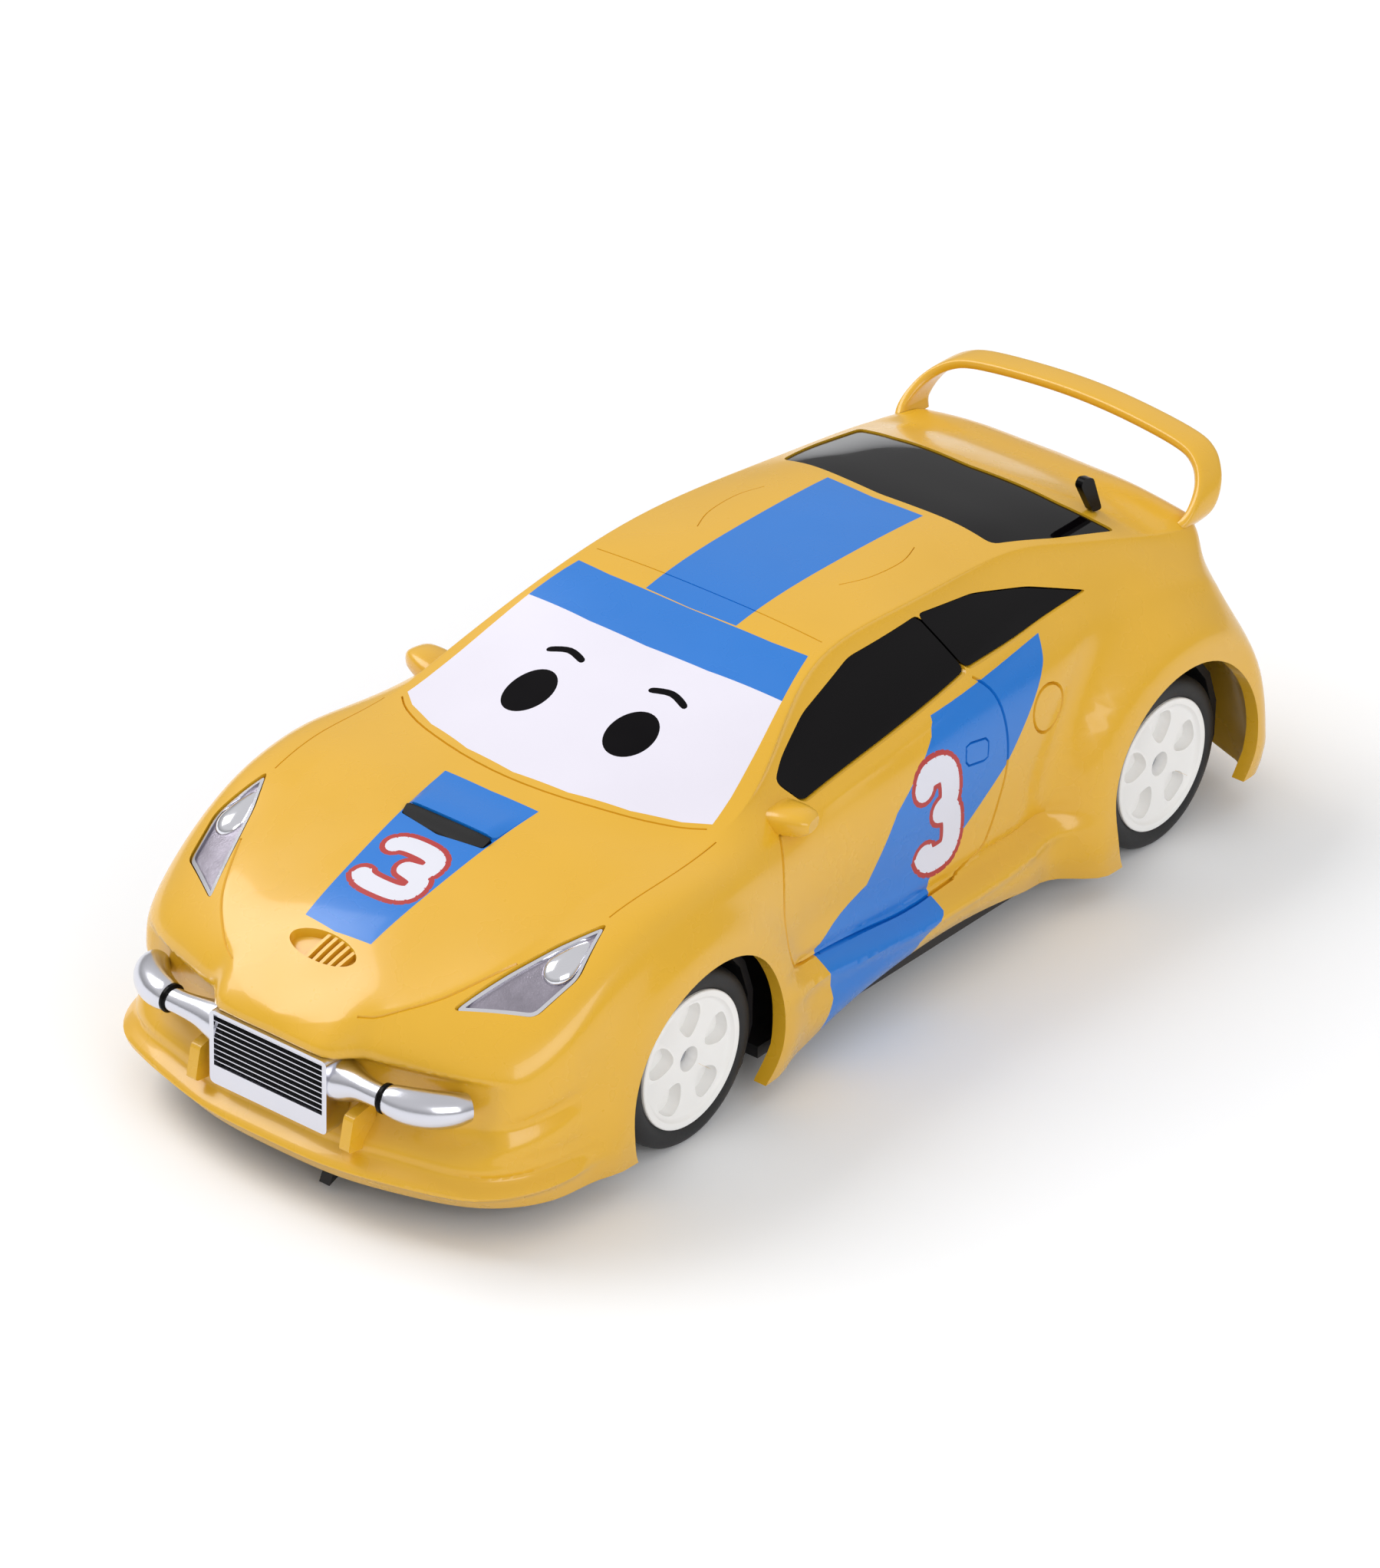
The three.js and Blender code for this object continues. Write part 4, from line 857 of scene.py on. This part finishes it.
# ---------- printed graphics ----------
HOOD_NUMBER = (6.3, 6.6, 2.05)  # height, breadth, stroke
HOOD_NUMBER_Y = -55.2
DOOR_NUMBER = (10.9, 5.0, 3.0)
DOOR_NUMBER_AT = (0.8, 20.8)
DOOR_NUMBER_LEAN = 0.1
NUMBER_EDGE = 0.6  # width of the outline round a number
HOOD_Z = (20, 45)  # heights between which a plan outline cuts the hood
ROOF_Z = (28, 46)
STRIPE_Z = (22, 46)
DOOR_X = (15, 34)


def squared(angle, power=0.72):
    """A point of a circle pushed out towards the corners of its square."""
    parts = (math.cos(angle), math.sin(angle))
    return tuple(math.copysign(abs(part) ** power, part) for part in parts)


def numeral(height, breadth, stroke, spread):
    """Centre line and half width of a plain three: two bowls of a bent bar, its top towards +v."""
    upper, lower = height * 0.235, height * 0.265
    bowls = ((upper, height / 2 - upper, 165), (lower, lower - height / 2, 80))
    step = 30.5
    line = []
    for radius, middle, start in bowls:
        for k in range(9):
            across, along = squared(math.radians(start - k * step))
            line.append((breadth / 2 * radius / lower * across, middle + radius * along))
    line = [np.array(p) for p in rounded(line, 3, closed=False)]
    return line, stroke / 2 + spread


def numeral_cells(line, reach):
    """The numeral as overlapping discs and bars, which union cleanly however tight it bends."""
    discs = [ellipse(p, (reach, reach), 16) for p in line[1:-1:2]]
    bars = []
    for p, q in zip(line, line[1:]):
        side = np.array([-(q - p)[1], (q - p)[0]])
        side = side / np.linalg.norm(side) * reach
        over = (q - p) * 0.06
        bars.append([tuple(p - over + side), tuple(p - over - side), tuple(q + over - side),
                     tuple(q + over + side)])
    return discs + bars


def stamp(cells, place, axis, low, high):
    """One solid from many small outlines, each put in its place first."""
    solids = [prism([place(*p) for p in cell], axis, low, high) for cell in cells]
    return join(solids[0], *solids[1:])


def hood_number(spread):
    cells = numeral_cells(*numeral(*HOOD_NUMBER, spread))
    return stamp(cells, lambda u, v: (u, HOOD_NUMBER_Y + v), "z", *HOOD_Z)


def door_number(sign, spread):
    """The numeral leans along the door, and reads the right way round on both sides."""
    cells = numeral_cells(*numeral(*DOOR_NUMBER, spread))
    y, z = DOOR_NUMBER_AT
    low, high = sorted(sign * x for x in DOOR_X)
    return stamp(cells, lambda u, v: (y + sign * u - v * DOOR_NUMBER_LEAN, z + v), "x", low, high)


def ellipse(center, radii, count=40):
    angles = np.linspace(0, 2 * math.pi, count, endpoint=False)
    return [(center[0] + radii[0] * math.cos(a), center[1] + radii[1] * math.sin(a)) for a in angles]


# Plain ovals a third of the way out across the glass and halfway up it, under low arched brows.
GLASS_HALF_X = max(x for x, _ in WINDSCREEN_HALF)
GLASS_Y = (WINDSCREEN_HALF[0][1], BAND_HALF[0][1])
EYE = {"x": GLASS_HALF_X / 3, "y": sum(GLASS_Y) / 2, "radii": (2.7, 3.3)}
BROW_Y = EYE["y"] + 6.2
BROW = [(4.6, BROW_Y), (6.9, BROW_Y + 0.7), (9.2, BROW_Y), (9.1, BROW_Y - 0.7), (6.9, BROW_Y - 0.1),
        (4.7, BROW_Y - 0.7)]


# ---------- the moulded shell and its prints ----------
NOSE_VENT_Y = -66.9
NOSE_VENT = ellipse((0, NOSE_VENT_Y), (4.3, 1.5))
SCOOP = filleted([(-5.5, -48.7), (0, -49.5), (5.5, -48.7), (5.7, -47.35), (0, -47.35),
                  (-5.7, -47.35)], 0.3)
RIB_COUNT, RIB_START, RIB_PITCH = 5, -1.0, 0.95
ROOF_FRONT_X, ROOF_FRONT_Y = 15.2, -6.0
BUMPER_EDGE_X, BUMPER_EDGE_Z = 23, 10.4
SLIGHT_BOW = 0.0012  # how much two of the pressed lines curve, per mm
BUMP_RISE = 0.62
FUEL_CAP = ellipse((19.9, 25.4), (2.7, 2.7))
PLAN_LINES = [  # left points, half width and depth of the beak, fender and roof lines
    ([(18.6, -58.6), (15.2, -65.2), (11.4, -69.2), (8.4, -71.2)], 0.55, 0.16),
    ([(22.4, -32), (22.9, -41), (22.5, -49)], 0.22, 0.2),
    ([(9.6, 3.5), (10.9, 7), (11.2, 12), (10.2, 15.5)], 0.2, 0.16),
]


def split(rest, tool, parts):
    """Moves what lies inside the tool out of the rest and into the parts."""
    parts.append(common(copied(rest), copied(tool)))
    cut(rest, tool)


def hollow_shell():
    """The skin over the hollow and the wheel arches, with the parts moulded on to it."""
    shell = cut(body_solid(), body_solid(WALL, BELOW_SKIRT, fine=False))
    for end, y in AXLE_Y.items():
        radius = ARCH_R[end]
        arch = lathed([(0.01, -ARCH_X), (radius, -ARCH_X), (radius, ARCH_X), (0.01, ARCH_X)], 72)
        for v in arch.data.vertices:
            v.co.y += y
            v.co.z += AXLE_Z
        cut(shell, arch)
    for sign in SIDES.values():
        join(shell, mirror(sign), bumper_fin(sign))
    return join(shell, hood_bump())


def line_side(shell, sign):
    """Openings and pressed lines of one side."""
    for opening in (DOOR_WINDOW, QUARTER_WINDOW):
        cut(shell, side_prism(filleted(opening, 0.9), sign))
    for line in (DOOR_REAR_LINE, DOOR_FRONT_LINE, DOOR_SILL_LINE):
        cut(shell, groove(rounded(line, 5, closed=False), "side", sign))
    cut(shell, groove(FUEL_CAP, "side", sign, closed=True), door_handle(sign))
    cut(shell, headlight_pocket(sign, 0.95))
    for points, width, depth in PLAN_LINES:
        line = rounded([(sign * x, y) for x, y in points], 5, closed=False)
        cut(shell, groove(line, "plan", width=width, depth=depth))


def line_top(shell):
    """Openings and pressed lines that cross the centre line."""
    x_stops = np.linspace(-ROOF_FRONT_X, ROOF_FRONT_X, 20)
    roof_front = [(x, ROOF_FRONT_Y - SLIGHT_BOW * x * x) for x in x_stops]
    cut(shell, groove(roof_front, "plan", width=0.2, depth=0.2))
    foot = sorted((x, y - 0.9) for x, y in symmetric(WINDSCREEN_HALF[:5]))
    cut(shell, groove(rounded(foot, 3, closed=False), "plan", width=0.25, depth=0.3))
    cut(shell, prism(filleted(REAR_WINDOW, 1.0), "z", *ROOF_Z))
    cut(shell, pocket(NOSE_VENT, 0.9), pocket(SCOOP, 0.95))
    join(shell, *vent_ribs())
    cut(shell, *tail_lines())


def body_paint():
    """The moulded shell, with each printed area cut out of it as a piece of its own."""
    shell = hollow_shell()
    for sign in SIDES.values():
        line_side(shell, sign)
    line_top(shell)

    white, red, blue, paper, ink = [], [], [], [], []
    for spread, parts in ((0.0, white), (NUMBER_EDGE, red)):
        split(shell, hood_number(spread), parts)
        for sign in SIDES.values():
            split(shell, door_number(sign, spread), parts)
    for sign in SIDES.values():
        eye = ellipse((sign * EYE["x"], EYE["y"]), EYE["radii"])
        brow = [(sign * x, y) for x, y in rounded(BROW, 4)]
        for outline in (eye, brow):
            split(shell, prism(outline, "z", *ROOF_Z), ink)
    split(shell, prism(symmetric(WINDSCREEN_HALF + BAND_HALF[1::-1]), "z", *ROOF_Z), paper)
    for outline in (symmetric(BAND_HALF), ROOF_STRIPE, HOOD_STRIPE):
        split(shell, prism(outline, "z", *STRIPE_Z), blue)
    for sign in SIDES.values():
        split(shell, side_prism(DOOR_BAND, sign, *DOOR_X), blue)
    finish_piece(shell, "body_paint", YELLOW, stands_for=["body_shell"],
                 on_body=True)
    for name, parts, material in (
        ("number_fill", white, NUMBER_WHITE), ("number_edge", red, NUMBER_RED),
        ("blue_graphics", blue, BLUE), ("screen_sticker", paper, WHITE_STICKER),
        ("screen_drawing", ink, INK),
    ):
        finish_piece(merged(parts), name, material, on_body=True)


def merged(parts):
    """Several shapes as one object."""
    points, faces = [], []
    for part in parts:
        start = len(points)
        points += [v.co[:] for v in part.data.vertices]
        faces += [[start + k for k in p.vertices] for p in part.data.polygons]
    discard(*parts)
    return new_object("merged", points, faces)


# ---------- moulded details of the body ----------
def superellipse(half_u, half_v, power=3.2, count=20):
    """An ellipse with fuller corners."""
    corners = [squared(2 * math.pi * k / count, 2 / power) for k in range(count)]
    return [(half_u * c, half_v * s) for c, s in corners]


def mirror(sign):
    """The stub of a wing mirror, which tapers outwards from the foot of the windscreen pillar."""
    stem = [(21.6, -22.4, 29.5), (23.6, -22.4, 29.9), (25.6, -22.1, 30.1), (27.0, -21.8, 30.1)]
    path = [(sign * x, y, z) for x, y, z in rounded(stem, 3, closed=False)]

    def section(k, t):
        return superellipse(2.8 - 1.1 * t - 0.5 * t ** 6, 1.6 - 0.4 * t - 0.5 * t ** 6)
    return swept(path, section)


def door_handle(sign):
    frame = filleted([(5.4, 24.6), (9.2, 23.9), (9.4, 26.4), (5.6, 27.1)], 0.5)
    return groove(frame, "side", sign, width=0.3, depth=0.3, closed=True)


def tail_lines():
    """Boot lid, lamp, plate and bumper outlines pressed into the back."""
    boot = [(-14.6, 27.4), (-13.0, 19.4), (-11.4, 18.2), (0, 17.8)]
    boot += mirrored(boot[:-1])
    x_stops = np.linspace(-BUMPER_EDGE_X, BUMPER_EDGE_X, 24)
    bumper_edge = [(x, BUMPER_EDGE_Z + SLIGHT_BOW * x * x) for x in x_stops]
    plate = filleted([(-5.6, 12.0), (5.6, 12.0), (5.6, 15.6), (-5.6, 15.6)], 0.7)
    lines = [groove(rounded(boot, 4, closed=False), "rear"), groove(bumper_edge, "rear"),
             groove(plate, "rear", width=0.3, depth=0.35, closed=True)]
    for sign in SIDES.values():
        lamp = [(sign * x, z) for x, z in ((15.2, 20.6), (21.6, 21.0), (21.2, 25.6), (16.4, 25.8))]
        lines.append(groove(filleted(lamp, 1.3), "rear", width=0.4, depth=0.45, closed=True))
    return lines


def bumper_fin(sign):
    side = filleted([(-75.5, 9.2), (-74.7, 13.0), (-71.4, 13.6), (-71, 8.6)], 0.5)
    return prism(side, "x", *sorted((sign * 9.7, sign * 11.0)))


def hood_bump():
    """The raised hood behind the scoop's mouth, which fades out towards the windscreen."""
    front, length, half_width = -47.3, 5.5, 6.1
    back = front + length
    outline = filleted([(-5.7, front), (5.7, front), (half_width, back), (-half_width, back)], 0.8)

    def height(x, y):
        fade = 1 - smooth((y - front) / length)
        return float(BUMP_RISE * fade * smooth((half_width - abs(x)) / 1.3)) + 0.01
    return pad_on_skin(outline, "plan", height, depth=0.6, spacing=0.55)


def pocket(outline, depth):
    """A cutter from above that stops at a depth below the skin."""
    return cut(prism(outline, "z", 18, 48), body_solid(depth, BELOW_SKIRT, fine=False))


def headlight_pocket(sign, depth):
    outline = filleted(HEADLIGHT, 0.9)
    return pocket(outline if sign > 0 else mirrored(outline), depth)


def vent_ribs():
    """Slanting ribs across one end of the nose vent."""
    ribs = []
    for k in range(RIB_COUNT):
        x = RIB_START + RIB_PITCH * k
        reach = 1.65 * math.sqrt(1 - (x / 4.5) ** 2)
        low, high = NOSE_VENT_Y - reach, NOSE_VENT_Y + reach
        bar = [(x - 0.3, low), (x + 0.1, low), (x + 0.9, high), (x + 0.5, high)]
        ribs.append(pad_on_skin(bar, "plan", lambda u, v: -0.2, depth=1.1, spacing=0.4))
    return ribs


def layered(outline, outer, inner):
    """The part of the wall between two depths, inside a plan outline."""
    block = common(prism(outline, "z", 14, 48), body_solid(outer))
    return cut(block, body_solid(inner, BELOW_SKIRT, fine=False))


PANE_GAP = 0.16
PANE_DEPTH = 0.2  # how far the panes lie below the body surface


def windows():
    panes = []
    for sign in SIDES.values():
        for outline in (DOOR_WINDOW, QUARTER_WINDOW):
            block = side_prism(filleted(shrunk(outline, PANE_GAP), 0.85), sign)
            common(block, body_solid(PANE_DEPTH))
            panes.append(cut(block, body_solid(WALL, BELOW_SKIRT, fine=False)))
    panes.append(layered(filleted(shrunk(REAR_WINDOW, PANE_GAP), 0.9), PANE_DEPTH, WALL))
    finish_piece(merged(panes), "window_glass", SMOKED,
                 stands_for=["window_insert"])


LAMP_BULB_AT = [(22.3, -56.2), (22.8, -51.0)]  # middle of the bulb and where its tip points
BULB_AHEAD, BULB_BEHIND, BULB_ACROSS, BULB_UP = 4.6, 2.2, 1.75, 1.15
BULB_SUNK = 0.75
BULB_TAPER = 0.42


def bulb(sign):
    """A drop-shaped reflector, pointed towards the windscreen."""
    (middle, normal), (tip, _) = (on_skin(sign * x, y, "plan") for x, y in LAMP_BULB_AT)
    along = (tip - middle) / np.linalg.norm(tip - middle)
    across = np.cross(normal, along)
    rings, around = 12, 24
    points = []
    for i in range(rings + 1):
        polar = math.pi * i / rings
        u = math.cos(polar)
        length = BULB_AHEAD if u > 0 else BULB_BEHIND
        taper = 1 - BULB_TAPER * max(u, 0)
        for k in range(around):
            angle = 2 * math.pi * k / around
            points.append(middle - normal * BULB_SUNK + along * length * u
                          + across * BULB_ACROSS * taper * math.sin(polar) * math.cos(angle)
                          + normal * BULB_UP * taper * math.sin(polar) * math.sin(angle))
    return outward(new_object("bulb", points, ring_faces(rings + 1, around)))


def headlight(name, sign):
    outline = filleted(shrunk(HEADLIGHT, 0.22), 0.8)
    outline = outline if sign > 0 else mirrored(outline)
    finish_piece(layered(outline, 0.5, 0.9), f"lamp_field_{name}", LAMP_FIELD,
                 stands_for=[f"headlight_{name}"])
    rim = cut(layered(outline, 0.22, 0.85), prism(shrunk(outline, 0.34), "z", 10, 50))
    finish_piece(merged([bulb(sign), rim]), f"lamp_bulb_{name}", LAMP_BULB, sharp=40)


# ---------- trim ----------
# Pipes and hoop as ((x, y, z), radius or width) from station to station.
GRILLE_X, GRILLE_Y, GRILLE_Z = 7.9, (-75.3, -71.9), (10.0, 18.6)
FIELD_Z = (12.2, 18.2)
NECK = [((7.4, -72.9, 15.6), 2.35), ((8.7, -73.0, 15.8), 2.2), ((10.6, -73.4, 16.2), 1.6),
        ((12.6, -73.75, 16.45), 1.32), ((14.5, -73.8, 16.5), 1.3)]
BEND = [((14.3, -73.8, 16.5), 1.3), ((15.2, -73.6, 16.45), 1.7), ((17.0, -72.95, 16.25), 1.95),
        ((18.8, -71.8, 16.05), 2.0), ((20.2, -70.3, 15.9), 1.85), ((21.0, -68.8, 15.8), 1.5)]
PIPE_RING = [((14.15, -73.8, 16.48), 1.45), ((14.3, -73.79, 16.49), 1.62),
             ((14.6, -73.75, 16.5), 1.62), ((14.75, -73.74, 16.5), 1.45)]
GRILLE_BARS = 9


def pipe(stations, sign, steps=6):
    """A round bar through stations of a place and a radius."""
    line = rounded([(*at, radius) for at, radius in stations], steps, closed=False)
    path = [(sign * x, y, z) for x, y, z, _ in line]
    radii = [r for *_, r in line]
    return swept(path, lambda k, t: circle(radii[k]))


def grille():
    """The plate with its recessed field, and the bars that cross the field."""
    front = GRILLE_Y[0]
    face = [(-GRILLE_X, GRILLE_Z[0]), (GRILLE_X, GRILLE_Z[0]), (GRILLE_X, GRILLE_Z[1]),
            (-GRILLE_X, GRILLE_Z[1])]
    plate = prism(filleted(face, 0.7), "z", 0, GRILLE_Y[1] - front)
    for v in plate.data.vertices:
        x, z, depth = v.co
        v.co = (x, front + depth, z)
    outward(plate)

    def slab(margin, near, far, low, high):
        reach = GRILLE_X - margin
        return box((-reach, near, low), (reach, far, high))

    low, high = FIELD_Z
    cut(plate, slab(0.6, -80, front + 0.75, low, high))
    pitch = (high - low) / GRILLE_BARS
    bars = [slab(0.62, front + 0.3, front + 0.74, low + (k + 0.42) * pitch, low + (k + 0.6) * pitch)
            for k in range(GRILLE_BARS)]
    field = slab(0.61, front + 0.66, front + 0.74, low + 0.01, high - 0.01)
    finish_piece(field, "grille_field", BLACK_TRIM)
    return [plate, *bars]


def bumper():
    trim = grille()
    rings = []
    for sign in SIDES.values():
        for stations in (NECK, BEND):
            trim.append(cut(pipe(stations, sign), body_solid(0.0, BELOW_SKIRT)))
        rings.append(cut(pipe(PIPE_RING, sign, steps=1), body_solid(0.0, BELOW_SKIRT)))
    finish_piece(merged(trim), "bumper_trim", CHROME, stands_for=["bumper_bar"],
                 sharp=40)
    finish_piece(merged(rings), "bumper_rings", BLACK_TRIM)


HOOP_HALF_THICK = 0.6
HOOP = [((18.8, 52.2, 31.9), 5.8), ((19.6, 53.4, 33.0), 5.3), ((19.5, 54.9, 34.5), 4.8),
        ((18.6, 56.5, 36.1), 4.2), ((16.8, 57.9, 37.4), 3.9), ((13.9, 58.7, 38.1), 3.7),
        ((7, 59.3, 38.6), 3.6), ((0, 59.5, 38.8), 3.6)]


def spoiler():
    half = [(*at, width) for at, width in HOOP]
    full = half + [(-x, y, z, w) for x, y, z, w in half[-2::-1]]
    line = rounded(full, 6, closed=False)
    points, around = [], 20
    for k, (x, y, z, width) in enumerate(line):
        before, after = line[max(k - 1, 0)], line[min(k + 1, len(line) - 1)]
        out_x, out_z = after[2] - before[2], before[0] - after[0]
        size = math.hypot(out_x, out_z)
        for u, v in superellipse(width / 2, HOOP_HALF_THICK, 4.5, around):
            points.append((x + out_x / size * v, y + u, z + out_z / size * v))
    hoop = outward(new_object("hoop", points, capped(len(line), around)))
    cut(hoop, body_solid(-0.02, BELOW_SKIRT))
    finish_piece(hoop, "spoiler_hoop", YELLOW, stands_for=["rear_spoiler"],
                 sharp=48)


def wiper():
    blade = filleted([(41.6, 36.1), (43.2, 35.9), (41.4, 40.4), (39.8, 40.9), (39.2, 40.2)], 0.5)
    fin = cut(prism(blade, "x", 13.4, 14.3), body_solid(0.15, BELOW_SKIRT))
    finish_piece(fin, "wiper_fin", BLACK_TRIM, stands_for=["rear_wiper"])


def scoop_insert():
    def height(x, y):
        return float(0.52 * smooth((y + 49.3) / 1.9)) - 0.1
    insert = pad_on_skin(shrunk(SCOOP, 0.06), "plan", height, depth=0.85, spacing=0.4)
    finish_piece(insert, "scoop_mouth", BLACK_TRIM,
                 stands_for=["hood_scoop_insert"])


# ---------- wheels ----------
HUB_DROP = [(2.65, 0.0), (3.3, 0.95), (4.7, 1.72), (6.0, 1.45), (6.35, 0), (6.0, -1.45), (4.7, -1.72),
            (3.3, -0.95)]  # one opening as (radius, across)


def hub():
    back = -WHEEL_W + 0.8
    profile = [(1.15, back), (2.4, back), (2.4, -4.6), (RIM_R - 1, -4.6), (RIM_R - 1, back),
               (RIM_R, back), (RIM_R, -0.12), (RIM_R - 0.1, -0.02), (RIM_R - 0.5, 0.0),
               (RIM_R - 0.75, -0.1), (RIM_R - 0.95, -0.42), (RIM_R - 1.2, -0.55), (2.0, -0.42),
               (1.4, -0.44), (1.15, -1.2)]
    body = lathed(profile, 96)
    for k in range(5):
        turn = 2 * math.pi * k / 5
        outline = [(r * math.cos(turn) - w * math.sin(turn), r * math.sin(turn) + w * math.cos(turn))
                   for r, w in rounded(HUB_DROP, 5)]
        cut(body, prism([(-b, a) for a, b in outline], "x", -2.0, 2))
    return body


def tyre():
    back = -WHEEL_W
    profile = [(RIM_R + 0.02, -0.35), (RIM_R + 0.02, back + 0.4), (8.6, back + 0.12),
               (9.4, back + 0.3), (9.85, back + 0.75), (10, back + 1.4), (10, -1.3), (9.9, -0.72),
               (9.6, -0.34), (9.1, -0.12), (8.5, -0.06), (8.05, -0.16)]
    return lathed(profile, 128)


def wheels():
    for piece, pattern, material, slot in (("hub", hub(), HUB_WHITE, "hub_white"),
                                           ("tyre", tyre(), RUBBER, "tyre_black")):
        for end, y in AXLE_Y.items():
            for name, sign in SIDES.items():
                wheel = copied(pattern)
                for v in wheel.data.vertices:
                    v.co = (sign * (v.co.x + WHEEL_FACE_X), y + sign * v.co.y, v.co.z + AXLE_Z)
                outward(wheel)
                finish_piece(wheel, f"{piece}_fine_{end}_{name}", material, body=f"{end}_wheelset",
                             stands_for=[f"{piece}_{end}_{name}"], sharp=36)
        discard(pattern)


def finish_cad_pieces():
    """Gives the CAD pieces that stay as they are a finer material."""
    for name, obj in frame["nodes"].items():
        material = STEEL if "screw" in name else CAD_FINISH.get(name)
        if material:
            obj.data.materials.clear()
            obj.data.materials.append(material)


camera()
studio()
body_paint()
windows()
for lamp_name, lamp_sign in SIDES.items():
    headlight(lamp_name, lamp_sign)
bumper()
spoiler()
wiper()
scoop_insert()
wheels()
finish_cad_pieces()
